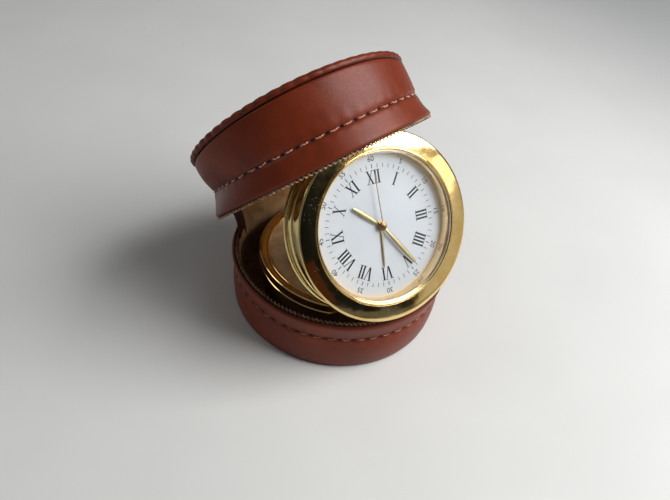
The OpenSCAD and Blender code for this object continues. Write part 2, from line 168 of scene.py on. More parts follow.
def joinedGrids(name, grids, sharp=35):
    # one mesh of several grids of points, each with a dictionary that says how it closes
    points, faces, first = [], [], 0
    for grid, closing in grids:
        faces += [[first + k for k in face] for face in gridFaces(*grid.shape[:2], **closing)]
        points.append(grid.reshape(-1, 3))
        first += len(points[-1])
    mesh = newMesh(name, np.concatenate(points), faces)
    cleanMesh(mesh, 0.0005, sharp,
              lambda build: bmesh.ops.dissolve_degenerate(build, edges=build.edges, dist=0.0002 * mm))
    return linked(name, mesh)


def gridPiece(name, points, sharp=35, **closing):
    return joinedGrids(name, [(points, closing)], sharp)


def ringsRound(path, reference, sides, radius):
    # a ring of points square to the path at each of its points
    along = unit(np.gradient(path, axis=-2))
    across = unit(np.cross(along, reference))
    third = np.cross(across, along)
    turn = (np.arange(sides) / sides * 2 * np.pi)[:, None]
    return path[..., None, :] + radius * (np.cos(turn) * across[..., None, :] + np.sin(turn) * third[..., None, :])


def smoothLine(points, steps=6):
    # Catmull-Rom curve through the points, with steps pieces between neighbours
    p = np.array(points, float)
    p = np.vstack([2 * p[0] - p[1], p, 2 * p[-1] - p[-2]])
    t = np.linspace(0, 1, steps, endpoint=False)[:, None]
    parts = []
    for a, b, c, d in zip(p[:-3], p[1:-2], p[2:-1], p[3:]):
        parts.append(0.5 * (2 * b + (c - a) * t + (2 * a - 5 * b + 4 * c - d) * t ** 2
                            + (3 * b - a - 3 * c + d) * t ** 3))
    return np.vstack(parts + [p[-2:-1]])


def arcPoints(centre, radii, start, end, count):
    # points on an ellipse, angles in degrees from the first axis
    a = np.radians(np.linspace(start, end, count))
    return np.stack([centre[0] + radii[0] * np.cos(a), centre[1] + radii[1] * np.sin(a)], -1)


def roundedCorner(profile, size, steps=4):
    # replaces each inner corner of a polyline by a quadratic curve that starts size before it
    p = np.array(profile, float)
    out = [p[0]]
    for a, b, c in zip(p[:-2], p[1:-1], p[2:]):
        la, lc = np.linalg.norm(a - b), np.linalg.norm(c - b)
        s = min(size, la / 2, lc / 2)
        u, v = b + (a - b) / la * s, b + (c - b) / lc * s
        t = np.linspace(0, 1, steps)[:, None]
        out += list((1 - t) ** 2 * u + 2 * t * (1 - t) * b + t ** 2 * v)
    return np.array(out + [p[-1]])


def denser(profile, step=1.8):
    # more points along the straight parts of a profile, so that they can bend
    parts = [np.linspace(a, b, max(1, int(np.linalg.norm(b - a) / step)), endpoint=False)
             for a, b in zip(profile[:-1], profile[1:])]
    return np.vstack(parts + [profile[-1:]])


def fullTurn(count):
    return np.linspace(0, 2 * np.pi, count, endpoint=False)[:, None]


def roundAxis(r, t, z):
    # points at distance r and height z, with the angle t from the back
    return np.stack([r * np.sin(t), r * np.cos(t), np.broadcast_to(z, np.shape(r * t))], -1)


def flatBackedRadius(radius, flat, t):
    # radius at angle t from the hinge, eased where the flat back cuts the circle
    cut = flat / np.maximum(np.cos(t), 0.05)
    ease = 0.7
    return -ease * np.logaddexp(-radius / ease, -cut / ease)


def revolve(profile, t, place=None, flat=None):
    # profile (r, z) carried round the axis; flat is the distance of the flat back for each point
    r = profile[:, 0] + 0 * t
    if flat is not None:
        r = np.where(profile[:, 0] > 1, flatBackedRadius(r, flat, t), r)
    points = roundAxis(r, t, profile[:, 1])
    return place(points) if place else points


def pointAttribute(piece, name, function):
    # a value for each point, worked out from its place in millimetres
    mesh = piece.data
    co = np.empty(len(mesh.vertices) * 3)
    mesh.vertices.foreach_get("co", co)
    values = function(co.reshape(-1, 3) / mm)
    mesh.attributes.new(name, "FLOAT", "POINT").data.foreach_set("value", values.astype(np.float32))


def finishPiece(piece, material, body, slot, *nodes):
    piece.data.materials.clear()
    piece.data.materials.append(material)
    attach(piece, body)
    if nodes:
        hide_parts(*nodes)
    return piece


def surface(name, points, finish, sharp=35, shade=None, **closing):
    # finish is material, body, slot and the node that the piece stands for; the slot is not used
    piece = gridPiece(name, points, sharp, **closing)
    if shade:
        pointAttribute(piece, *shade)
    return finishPiece(piece, *finish)


def fromNode(node, name, bevel):
    # a CAD piece with its edges rounded, as a merged copy with a live bevel
    copy = linked(name, frame["nodes"][node].data.copy())
    cleanMesh(copy.data, 0.001, 40, lambda build: bmesh.ops.dissolve_limit(
        build, angle_limit=math.radians(1), verts=build.verts, edges=build.edges))
    rounding = copy.modifiers.new("roundedEdges", "BEVEL")
    rounding.width = bevel * mm
    rounding.segments = 3
    rounding.limit_method = "ANGLE"
    rounding.angle_limit = math.radians(40)
    rounding.harden_normals = False
    return copy


# materials

def linearColour(hexText):
    channels = [int(hexText[i:i + 2], 16) / 255 for i in (0, 2, 4)]
    return tuple(c / 12.92 if c <= 0.04045 else ((c + 0.055) / 1.055) ** 2.4 for c in channels) + (1.0,)


def perMetre(millimetres):
    # texture scale that gives one feature for each so many millimetres
    return 1 / (millimetres * mm)


def addNode(m, kind, inputs, output=0, stops=(), **settings):
    # an input takes a number, a colour in hex or another node's output, and patterns lie on m.place unless told
    # stops are the places of a ramp with their colours or greys; a node without outputs is given itself
    node = m.tree.nodes.new("ShaderNode" + kind)
    for key, value in settings.items():
        setattr(node, key, value)
    if kind in ("TexNoise", "TexVoronoi", "TexWave"):
        inputs = {"Vector": m.place, **inputs}
    for key, value in inputs.items():
        if isinstance(value, bpy.types.NodeSocket):
            m.tree.links.new(value, node.inputs[key])
        else:
            node.inputs[key].default_value = linearColour(value) if isinstance(value, str) else value
    if stops:
        node.color_ramp.interpolation = "EASE"
        while len(node.color_ramp.elements) < len(stops):
            node.color_ramp.elements.new(0.5)
        for element, (where, colour) in zip(node.color_ramp.elements, stops):
            element.position = where
            element.color = linearColour(colour) if isinstance(colour, str) else (colour, colour, colour, 1)
    return node.outputs[output] if len(node.outputs) else node


def startMaterial(name, values):
    material = bpy.data.materials.new(name)
    material.use_nodes = True
    m = SimpleNamespace(material=material, tree=material.node_tree)
    m.tree.nodes.clear()
    m.shader = addNode(m, "BsdfPrincipled", values).node
    m.output = addNode(m, "OutputMaterial", {"Surface": m.shader.outputs[0]})
    m.place = addNode(m, "TexCoord", {}, "Object")
    return m


def endMaterial(m, colour, rough=None, reliefs=()):
    # each relief is a pattern, its height in millimetres and its strength, the undermost first
    normal = None
    for pattern, height, strength in reliefs:
        under = {} if normal is None else {"Normal": normal}
        normal = addNode(m, "Bump", {"Height": pattern, "Distance": height * mm, "Strength": strength, **under})
    for name, socket in (("Base Color", colour), ("Roughness", rough), ("Normal", normal)):
        if socket is not None:
            m.tree.links.new(socket, m.shader.inputs[name])
    return m.material


def calfLeather(name, light, middle, dark, withPaintedSeamShade=True, gloss=0.36):
    # smooth calf leather, drum dyed and wax polished: fine pores, a soft broad shine, painted shade in the groove
    # of its seam and at its needle holes, darker at its cut edges
    # grain and pores are drawn about twice as coarse as real ones, so that they show
    m = startMaterial(name, {
        "IOR": 1.45, "Specular IOR Level": 0.28, "Coat Weight": 0.04, "Coat Roughness": 0.25})
    clouds = addNode(m, "TexNoise", {"Scale": perMetre(17), "Detail": 4})
    grain = addNode(m, "TexNoise", {"Scale": perMetre(0.55), "Detail": 5, "Roughness": 0.6})
    upright = addNode(m, "Mapping", {"Vector": m.place, "Scale": (1, 1, 0.35)})
    creases = addNode(m, "TexNoise", {"Vector": upright, "Scale": perMetre(3.2), "Detail": 3, "Roughness": 0.6})
    cells = addNode(m, "TexVoronoi", {"Scale": perMetre(0.42)}, feature="DISTANCE_TO_EDGE")
    pores = addNode(m, "ValToRGB", {"Fac": cells}, stops=[(0.0, 0.0), (0.16, 1.0)])
    dyed = addNode(m, "ValToRGB", {"Fac": clouds}, stops=[(0.3, dark), (0.5, middle), (0.72, light)])
    deep = addNode(m, "ValToRGB", {"Fac": grain}, stops=[(0.4, 0.0), (0.75, 0.28)])
    colour = addNode(m, "Mix", {0: deep, 6: dyed, 7: dark}, 2, data_type="RGBA")
    if withPaintedSeamShade:
        # painted shade: the colour darkens to 2E120B in seam grooves, at needle holes and under the lid's bead, and
        # also at the cut edges
        seam = addNode(m, "Attribute", {}, "Fac", attribute_name="seamShade")
        colour = addNode(m, "Mix", {0: seam, 6: colour, 7: "2E120B"}, 2, data_type="RGBA")
    worn = addNode(m, "Mix", {0: 0.5, 2: grain, 3: clouds})
    rough = addNode(m, "ValToRGB", {"Fac": worn}, stops=[(0.35, gloss - 0.06), (0.65, gloss + 0.12)])
    return endMaterial(m, colour, rough, [(pores, 0.018, 0.5), (grain, 0.045, 0.5), (creases, 0.12, 0.35)])


def napped(name, light, dark, pile=0.35, sheen=0.35):
    # suede or velour: short brushed pile that scatters light, with strokes where it lies over
    # the pile is drawn several times as coarse as its real fibres, so that it shows
    m = startMaterial(name, {
        "Roughness": 0.92, "Specular IOR Level": 0.15, "Sheen Weight": sheen, "Sheen Roughness": 0.45})
    brushed = addNode(m, "Mapping", {"Vector": m.place, "Scale": (1, 1.6, 1)})
    strokes = addNode(m, "TexNoise", {"Vector": brushed, "Scale": perMetre(7), "Detail": 3, "Roughness": 0.6})
    fibre = addNode(m, "TexNoise", {"Scale": perMetre(pile), "Detail": 6, "Roughness": 0.75})
    nap = addNode(m, "Mix", {0: 0.45, 2: strokes, 3: fibre})
    colour = addNode(m, "ValToRGB", {"Fac": nap}, stops=[(0.35, dark), (0.62, light)])
    return endMaterial(m, colour, None, [(fibre, 0.12, 0.7), (strokes, 0.25, 0.3)])


def wovenTape(name, light, dark):
    # polyester zip tape, woven in fine ribs: matt, with a dark line beside each rib of 0.6 mm
    m = startMaterial(name, {"Roughness": 0.85, "Specular IOR Level": 0.2, "Sheen Weight": 0.2})
    ribs = addNode(m, "TexWave", {"Scale": perMetre(0.6) / (2 * math.pi), "Distortion": 0.6, "Detail": 2,
                                  "Detail Scale": 4}, "Fac", bands_direction="Z")
    yarn = addNode(m, "TexNoise", {"Scale": perMetre(0.4), "Detail": 4, "Roughness": 0.7})
    weave = addNode(m, "Math", {0: ribs, 1: yarn}, operation="MULTIPLY")
    colour = addNode(m, "ValToRGB", {"Fac": weave}, stops=[(0.1, dark), (0.6, light)])
    return endMaterial(m, colour, None, [(weave, 0.1, 0.8)])


def nylonCoil(name, light, dark):
    # extruded nylon filament: waxy, half shiny, a little darker where it is rubbed
    m = startMaterial(name, {"IOR": 1.53, "Coat Weight": 0.6, "Coat Roughness": 0.12})
    patches = addNode(m, "TexNoise", {"Scale": perMetre(2.2), "Detail": 3, "Roughness": 0.6})
    scuffs = addNode(m, "TexNoise", {"Scale": perMetre(0.2), "Detail": 3})
    colour = addNode(m, "ValToRGB", {"Fac": patches}, stops=[(0.35, dark), (0.65, light)])
    rough = addNode(m, "ValToRGB", {"Fac": patches}, stops=[(0.3, 0.34), (0.7, 0.5)])
    return endMaterial(m, colour, rough, [(scuffs, 0.03, 0.4)])


def linenThread(name, light, dark):
    # waxed polyester thread: the twist of its plies shows as a slanting rib of 0.3 mm
    m = startMaterial(name, {"Roughness": 0.6, "Specular IOR Level": 0.35, "Sheen Weight": 0.3})
    twist = addNode(m, "TexWave", {"Scale": perMetre(0.3) / (2 * math.pi), "Distortion": 1}, "Fac",
                    bands_direction="DIAGONAL")
    colour = addNode(m, "ValToRGB", {"Fac": twist}, stops=[(0.2, dark), (0.8, light)])
    return endMaterial(m, colour, None, [(twist, 0.05, 0.6)])


def platedGold(name, light, dark, rough, smear=0.05, wave=0.0, edge=None):
    # brass, polished and gold plated: a slightly wavy mirror with wipe marks, hairline scratches and dust
    # the specks of dust are drawn coarser than real ones, so that they show
    m = startMaterial(name, {"Metallic": 1.0})
    smears = addNode(m, "TexNoise", {"Scale": perMetre(6), "Detail": 5, "Roughness": 0.65})
    drifts = addNode(m, "TexNoise", {"Scale": perMetre(5), "Detail": 3})
    patches = addNode(m, "ValToRGB", {"Fac": drifts}, stops=[(0.46, 0.0), (0.62, 0.15)])
    specks = addNode(m, "TexVoronoi", {"Scale": perMetre(0.6)})
    near = addNode(m, "Math", {0: patches, 1: specks}, operation="SUBTRACT", use_clamp=True)
    dust = addNode(m, "Math", {0: near, 1: 9.0}, operation="MULTIPLY", use_clamp=True)
    colour = addNode(m, "ValToRGB", {"Fac": smears}, stops=[(0.35, dark), (0.65, light)])
    # edge is the colour of a painted shade on the edges of the hand blades, standing in for the dark they mirror
    if edge:
        shade = addNode(m, "Attribute", {}, "Fac", attribute_name="edgeShade")
        colour = addNode(m, "Mix", {0: shade, 6: colour, 7: edge}, 2, data_type="RGBA")
    colour = addNode(m, "Mix", {0: dust, 6: colour, 7: "B9B4A2"}, 2, data_type="RGBA")
    wiped = addNode(m, "ValToRGB", {"Fac": smears}, stops=[(0.3, rough), (0.7, rough + smear)])
    roughness = addNode(m, "Math", {0: dust, 1: 0.7, 2: wiped}, operation="MULTIPLY_ADD", use_clamp=True)
    drawn = addNode(m, "Mapping", {"Vector": m.place, "Scale": (1, 0.12, 1)})
    hairlines = addNode(m, "TexNoise", {"Vector": drawn, "Scale": perMetre(0.9), "Detail": 4, "Roughness": 0.8})
    reliefs = [(hairlines, 0.012, 0.25)]
    if wave:
        swell = addNode(m, "TexNoise", {"Scale": perMetre(9), "Detail": 2, "Roughness": 0.4})
        reliefs.append((swell, wave, 1.0))
    return endMaterial(m, colour, roughness, reliefs)


def brushedMetal(name, light, dark):
    # rolled steel or brass with a fine directional finish
    m = startMaterial(name, {"Metallic": 1.0})
    drawn = addNode(m, "Mapping", {"Vector": m.place, "Scale": (0.08, 1, 1)})
    lines = addNode(m, "TexNoise", {"Vector": drawn, "Scale": perMetre(0.6), "Detail": 4, "Roughness": 0.7})
    colour = addNode(m, "ValToRGB", {"Fac": lines}, stops=[(0.35, dark), (0.65, light)])
    rough = addNode(m, "ValToRGB", {"Fac": lines}, stops=[(0.3, 0.24), (0.7, 0.38)])
    return endMaterial(m, colour, rough, [(lines, 0.02, 0.4)])


def mouldedPlastic(name, light, dark):
    # moulded ABS with a fine spark-eroded texture
    m = startMaterial(name, {"IOR": 1.54})
    flow = addNode(m, "TexNoise", {"Scale": perMetre(9), "Detail": 3})
    grain = addNode(m, "TexNoise", {"Scale": perMetre(0.3), "Detail": 4, "Roughness": 0.6})
    colour = addNode(m, "ValToRGB", {"Fac": flow}, stops=[(0.3, dark), (0.7, light)])
    rough = addNode(m, "ValToRGB", {"Fac": grain}, stops=[(0.3, 0.37), (0.7, 0.52)])
    return endMaterial(m, colour, rough, [(grain, 0.03, 0.5)])


def dialLacquer(name):
    # matt white lacquer on brass, with a very slight orange peel and a painted warm reflection of the gold ring at
    # its rim
    m = startMaterial(name, {"IOR": 1.5, "Coat Weight": 0.1, "Coat Roughness": 0.3})
    clouds = addNode(m, "TexNoise", {"Scale": perMetre(11), "Detail": 3})
    peel = addNode(m, "TexNoise", {"Scale": perMetre(0.8), "Detail": 3})
    white = addNode(m, "ValToRGB", {"Fac": clouds}, stops=[(0.3, "E6EBF3"), (0.7, "EDF0F6")])
    glow = addNode(m, "Attribute", {}, "Fac", attribute_name="ringGlow")
    # painted reflection: the dial's rim is tinted towards FFEBCB as by warm light from the gold ring
    colour = addNode(m, "Mix", {0: glow, 6: white, 7: "FFEBCB"}, 2, data_type="RGBA")
    rough = addNode(m, "ValToRGB", {"Fac": peel}, stops=[(0.3, 0.5), (0.7, 0.6)])
    return endMaterial(m, colour, rough, [(peel, 0.01, 0.3)])


def printedInk(name, light, dark):
    # pad-printed ink: matt, a trace uneven at its edges
    m = startMaterial(name, {"Roughness": 0.6, "Specular IOR Level": 0.3})
    film = addNode(m, "TexNoise", {"Scale": perMetre(0.5), "Detail": 4, "Roughness": 0.7})
    return endMaterial(m, addNode(m, "ValToRGB", {"Fac": film}, stops=[(0.35, dark), (0.7, light)]))


def clearGlass(name):
    # thin mineral glass: clear, with the faint mirror of its two faces and a trace of dust
    m = startMaterial(name, {})
    m.tree.nodes.remove(m.shader)
    film = addNode(m, "TexNoise", {"Scale": perMetre(2.5), "Detail": 6, "Roughness": 0.8})
    dust = addNode(m, "ValToRGB", {"Fac": film}, stops=[(0.4, 0.01), (0.75, 0.08)])
    clear = addNode(m, "BsdfTransparent", {"Color": (0.985, 0.99, 0.99, 1)})
    mirror = addNode(m, "BsdfGlossy", {"Color": (1, 1, 1, 1), "Roughness": dust})
    slant = addNode(m, "Fresnel", {"IOR": 1.5})
    share = addNode(m, "Math", {0: slant, 1: 0.6}, operation="MULTIPLY")
    both = addNode(m, "MixShader", {0: share, 1: clear, 2: mirror})
    m.tree.links.new(both, m.output.inputs["Surface"])
    return m.material


leather = calfLeather("polishedCalfLeather", "7C3217", "6E2810", "62240D")
leatherSoft = calfLeather("softGussetLeather", "5A3022", "482215", "32150B", withPaintedSeamShade=False, gloss=0.45)
seatLeather = calfLeather("pastedSplitLeather", "86634A", "755540", "5C4331", withPaintedSeamShade=False, gloss=0.5)
suede = napped("brushedSuede", "A88257", "7C5A38")
velour = napped("beigeVelour", "F2D0A2", "DCAA78", 0.3, 0.2)
tapeCloth = wovenTape("wovenZipTape", "8A6A4C", "523A26")
coilNylon = nylonCoil("nylonZipCoil", "B48C66", "6A4A31")
# painted shade: the case's coil is the same nylon as the lid's, made darker for the shade it lies in
shadeDarkenedNylon = nylonCoil("paintedShadeNylonZipCoil", "8E6C50", "4C3423")
stitchThread = linenThread("waxedThread", "D39A78", "8E5940")
# painted shade: the case's thread is the lid's thread made darker for the shade on the case
shadeDarkenedThread = linenThread("paintedShadeWaxedThread", "B07A5C", "6B3E2B")
gold = platedGold("polishedGoldPlate", "F7DA9C", "EDCB84", 0.06, wave=0.12)
ribGold = platedGold("polishedRibGold", "F6E0A2", "EACE8A", 0.09)
roseGold = platedGold("polishedCreamGold", "FBE3B8", "F2CF96", 0.13)
# the hands' blade edges take a painted shade of 7D5F2C
handGold = platedGold("polishedHandGold", "FDF0BE", "F8E4A0", 0.33, edge="7D5F2C")
hubGold = platedGold("brownGoldHub", "BC9264", "986E40", 0.2, 0.08)
satinGold = platedGold("satinGoldWall", "FBE3B8", "F2CF96", 0.42, 0.08)
brass = brushedMetal("satinBrass", "C6A565", "A98849")
steel = brushedMetal("brushedSteel", "C4C6C8", "A4A6A9")
blackPlastic = mouldedPlastic("blackMouldedPlastic", "26272A", "1A1B1D")
whitePlastic = mouldedPlastic("whiteMouldedPlastic", "DEDDD8", "D0CFCA")
whiteLacquer = dialLacquer("whiteDialLacquer")
blackInk = printedInk("blackPadInk", "2C2F38", "16181E")
clear = clearGlass("mineralGlass")
report("materials")


# leather halves

caseShape = {
    "bottom": 0.0, "wallHeight": 22.8, "edgeRadius": 40.0, "footRadius": 38.4, "flatBack": 36.3, "wobble": 0.12,
    "waveSeed": 0.7, "seamHeight": 15.2, "seamRadius": 38.7, "seamDepth": 0.4, "seamWidth": 0.75,
    "puckerDepth": 0.16, "stitches": 49, "stitchLength": 2.7, "threadRadius": 0.22, "threadSeed": 11,
    "darkEdges": [(22.8, 0.5, 0.55), (0.2, 0.9, 0.5)],                # height, width and depth of each
}
lidShape = {
    "bottom": 25.5, "wallHeight": 18.8, "edgeRadius": 40.0, "leanBack": 7.0, "leanSide": 4.6, "leanFrom": 9.0,
    "wobble": 0.14, "waveSeed": 2.1, "seamHeight": 8.6, "seamRadius": 39.7, "seamDepth": 0.45, "seamWidth": 0.8,
    "puckerDepth": 0.12, "stitches": 49, "stitchLength": 3.0, "threadRadius": 0.25, "threadSeed": 12,
    "darkEdges": [(0, 0.45, 0.5)], "beadRadius": 1.35, "beadOut": 40.85, "scallop": 0.55, "scallops": 54,
    "flare": 0.5, "flareRight": 2.4, "flareLeft": 1.9, "waistRight": 0.9, "waistLeft": 1.9,
}
tubeEnds = {"loopColumns": True, "ends": True}
ringLoops = {"loopRows": True, "loopColumns": True}


def leanOfTop(x, y):
    # how much lower the leaning top of the lid stands at a place than at its middle
    c = lidShape
    return math.tan(math.radians(c["leanBack"])) * y + math.tan(math.radians(c["leanSide"])) * x


def onWallTop(p):
    # from the plane of the lid's top to the closed lid
    a, b = math.radians(lidShape["leanBack"]), math.radians(lidShape["leanSide"])
    y, z = p[..., 1] * math.cos(a) + p[..., 2] * math.sin(a), p[..., 2] * math.cos(a) - p[..., 1] * math.sin(a)
    x, z = p[..., 0] * math.cos(b) + z * math.sin(b), z * math.cos(b) - p[..., 0] * math.sin(b)
    return np.stack([x, y, z + lidShape["bottom"] + lidShape["wallHeight"]], -1)


def leaned(p):
    # lowers what is drawn under a level top to the leaning one, from a little above the seam upwards
    c = lidShape
    share = np.clip((p[..., 2] - c["bottom"] - c["leanFrom"]) / (c["wallHeight"] - 1.5 - c["leanFrom"]), 0, 1)
    return np.stack([p[..., 0], p[..., 1], p[..., 2] - share * leanOfTop(p[..., 0], p[..., 1])], -1)


def sagged(p):
    # the soft lid has lost its round: the lip turns out by its flare times (1 - z / 7.4) to the 1.6,
    # and the waist at the seam is drawn in on the left and pushed out on the right
    c = lidShape
    t = np.arctan2(p[..., 0], p[..., 1])
    height = p[..., 2] - c["bottom"]
    right = np.exp(-((t - math.radians(122)) / 0.5) ** 2)
    left = np.exp(-((t + math.radians(75)) / 0.5) ** 2)
    front = np.clip((np.abs(t) - 0.6) / 0.5, 0, 1)
    lip = np.clip(1 - height / 7.4, 0, 1) ** 1.6
    waist = np.exp(-((height - c["seamHeight"]) / 4.5) ** 2)
    out = (c["flare"] + c["flareRight"] * right + c["flareLeft"] * left) * lip
    out = out + (c["waistRight"] * right - c["waistLeft"] * left) * waist
    grow = 1 + front * out / c["edgeRadius"]
    return np.stack([p[..., 0] * grow, p[..., 1] * grow, p[..., 2]], -1)


def inSaggedLid(p):
    return inLid(leaned(sagged(p)))


def fromCase(points):
    return np.stack([points @ caseAcross, points @ caseBack, points[:, 2]], -1)


def fromLid(points):
    x, y, z = fromCase(points).T
    return np.stack([x, *swung(y, z, -lidOpen)], -1)


def seamRelief(t, z, c):
    # how far the leather is drawn in: a groove along the seam, pits at the needle holes, puckers between
    phase, off = np.cos(t * c["stitches"]), z - c["seamHeight"]
    near = np.exp(-(off / c["seamWidth"]) ** 2)
    pit = np.exp(-(off / 0.4) ** 2 - 6 * (1 + phase))
    pucker = np.exp(-(off / 2.4) ** 2) * (1 - near) * phase
    return c["seamDepth"] * near + 0.45 * pit - c["puckerDepth"] * 0.6 * pucker


def softWobble(t, z, amount, seed):
    # slow waves of hand-worked leather
    return amount * (np.sin(3 * t + seed) * 0.5 + np.sin(5 * t + 0.21 * z + 2 * seed) * 0.35
                     + np.sin(8 * t - 0.3 * z + 3 * seed) * 0.25)


def seamShade(c, flatten):
    # painted shade in the groove of the seam and at the needle holes, and darker leather at the cut edges
    def shade(points):
        x, y, z = flatten(points).T
        z = z - c["bottom"]
        off, phase = z - c["seamHeight"], np.cos(np.arctan2(x, y) * c["stitches"])
        line = 0.45 * np.exp(-(off / 0.55) ** 2)
        hole = np.exp(-(off / 0.45) ** 2 - 2.4 * (1 + phase))
        edge = sum(depth * np.exp(-((z - at) / width) ** 2) for at, width, depth in c["darkEdges"])
        return np.clip(line + hole + edge, 0, 1)
    return shade


def stitchPaths(c, place):
    # each thread rises from its hole, lies over the leather with a slight sag, and dips into the next
    random = np.random.default_rng(c["threadSeed"])
    centres = np.arange(c["stitches"]) * 2 * np.pi / c["stitches"]
    away = np.abs((centres + np.pi) % (2 * np.pi) - np.pi)
    centres = centres[away > math.radians(24)]                       # none under the strip at the hinge
    s = np.linspace(-1, 1, 11)
    lean, sag, slip = [random.normal(mean, spread, len(centres))[:, None]
                       for mean, spread in ((0, 0.12), (0.28, 0.06), (0, 0.004))]
    t = centres[:, None] + c["stitchLength"] / 2 / c["edgeRadius"] * s + slip
    z = c["seamHeight"] + c["bottom"] - sag * (1 - s ** 2) + lean * s + 0.1
    lift = c["threadRadius"] * 0.9 * (1 - s ** 8) - 0.5 * s ** 6
    r = flatBackedRadius(c["seamRadius"], caseShape["flatBack"], t) - c["seamDepth"] + lift
    return place(roundAxis(r + softWobble(t, c["seamHeight"], c["wobble"], c["waveSeed"]), t, z))


def sewnWall(half, c, outer, inner, place, flatten, body, thread):
    # outer is the part of the profile that takes the seam and the waves
    r, z = np.vstack([outer, inner]).T
    n = len(outer)
    flat = np.minimum(np.where(np.arange(len(r)) < n, caseShape["flatBack"], r - 3.7), r - 1.2)
    worked = np.zeros(len(r))
    worked[:n] = np.minimum(1, np.minimum(np.arange(n), n - 1 - np.arange(n)) / 3)
    t = fullTurn(720)
    change = softWobble(t, z, c["wobble"], c["waveSeed"]) - seamRelief(t, z, c)
    points = roundAxis(flatBackedRadius(r, flat, t) + change * worked, t, z + c["bottom"])
    surface(half + "WallLeather", place(points), (leather, body, "leather", half + "_wall"),
            shade=("seamShade", seamShade(c, flatten)), **ringLoops)
    paths = stitchPaths(c, place)
    rings = ringsRound(paths, paths - paths.mean((0, 1)), 8, c["threadRadius"])
    stitches = joinedGrids(half + "Stitches", [(ring, tubeEnds) for ring in rings], 60)
    finishPiece(stitches, thread, body, "leather")


def makeCaseLeather():
    # the side swells a little above its foot, draws in at the seam and flares to the zip
    c = caseShape
    h, seam, foot, edge = c["wallHeight"], c["seamHeight"], c["footRadius"], c["edgeRadius"]
    outer = smoothLine([
        (foot - 1.6, 0.35), (foot - 0.75, 0.75), (foot - 0.2, 1.7), (foot + 0.2, 3.4), (foot + 0.62, 7.0),
        (foot + 0.75, 10.0), (foot + 0.55, 12.8), (foot + 0.3, seam), (foot + 0.6, seam + 2.2),
        (edge - 0.45, h - 3.2), (edge - 0.05, h - 1.5), (edge - 0.1, h - 0.6), (edge - 0.5, h - 0.08)], 7)
    inner = [(edge - 0.9, h - 0.02), (edge - 1.35, h - 0.3), (edge - 1.5, h - 0.9), (edge - 1.5, h - 6.5),
             (edge - 2.0, h - 6.7), (edge - 2.0, 1.9), (edge - 2.6, 1.8), (edge - 2.6, 0.5)]
    sewnWall("case", c, outer, inner, inCase, fromCase, "lower_case", shadeDarkenedThread)


def makeLidLeather():
    # the side flares from the seam down to the lip, and swells above it to the bead of the top
    c = lidShape
    h, seam, edge = c["wallHeight"], c["seamHeight"], c["edgeRadius"]
    outer = smoothLine([
        (edge - 0.85, 0.03), (edge - 0.25, 0.35), (edge + 0.08, 1.3), (edge + 0.1, 3.6), (edge - 0.05, 6.4),
        (edge - 0.3, seam), (edge - 0.05, seam + 1.9), (edge + 0.38, 13.4), (edge + 0.5, 16.2),
        (edge + 0.45, h - 0.7), (edge + 0.1, h - 0.03)], 7)
    inner = denser(np.array([(edge - 2.0, h - 0.03), (edge - 2.0, 6.7), (edge - 1.5, 6.5), (edge - 1.5, 0.9),
                             (edge - 1.35, 0.3), (edge - 1.1, 0.05)]))
    sewnWall("lid", c, outer, inner, inSaggedLid, fromLid, "lid", stitchThread)


def makeLidTop():
    # a domed disc that ends in a sewn bead, pinched in at each whip stitch
    c = lidShape
    bead, low = c["beadRadius"], 0.05
    out = c["beadOut"] - bead
    r, z = np.vstack([
        [[0, low], [out - 6, low], [out - 0.4, low]],
        arcPoints((out, low + 0.1 + bead), (bead, bead), -80, 100, 14),
        smoothLine([(out - 1.1, 2.78), (out - 2.4, 2.85), (out - 8, 3.2), (out - 16, 3.6), (out - 27, 3.85),
                    (0, 3.95)], 4)]).T
    t = fullTurn(720)
    flat = np.maximum(np.minimum(caseShape["flatBack"] + 0.3, r), 0.1)
    onBead = np.exp(-((r - out - bead * 0.7) / 1.3) ** 2) * (z > low)
    strength = 0.35 + 0.65 * np.clip(np.cos(t - math.radians(285)), 0, 1)
    pinch = c["scallop"] * strength * (np.abs(np.sin(t * c["scallops"] / 2)) - 0.6) * onBead
    radius = np.where(r > 20, flatBackedRadius(r, flat, t), r)
    radius = radius + pinch + softWobble(t, z, c["wobble"] * 0.6, 4.0) * (r > 20)

    # painted shadow: the leather just under the bead, where it overhangs the wall, is darkened
    def beadShade(points):
        x, y, height = fromLid(points).T
        height = height - c["bottom"] - c["wallHeight"] + leanOfTop(x, y)
        return 0.97 * np.exp(-(height / 0.8) ** 2)
    surface("lidTopLeather", inLid(onWallTop(roundAxis(radius, t, z + 0.5 * pinch))),
            (leather, "lid", "leather", "lid_top"), shade=("seamShade", beadShade), loopRows=True)


makeCaseLeather()
makeLidLeather()
makeLidTop()
report("leather")


# linings, seat and base inlay

liningShape = {"radius": 37.9, "thick": 1.05, "round": 0.5, "flatIn": 3.2}


def suedeCup(name, edge, floorOut, floorIn, place, body, node):
    # a cup with a rounded edge: floorOut and floorIn are the heights of its floor's two faces
    c = liningShape
    r, inside = c["radius"], c["radius"] - c["thick"]
    cup = roundedCorner([(0, floorOut), (r, floorOut), (r, edge), (inside, edge), (inside - 0.1, floorIn),
                         (0, floorIn)], c["round"])
    if body == "lid":
        cup = denser(cup)
    points = revolve(cup, fullTurn(360), place, np.maximum(cup[:, 0] - c["flatIn"], 0.5))
    surface(name, points, (suede, body, "suede", node), loopRows=True)


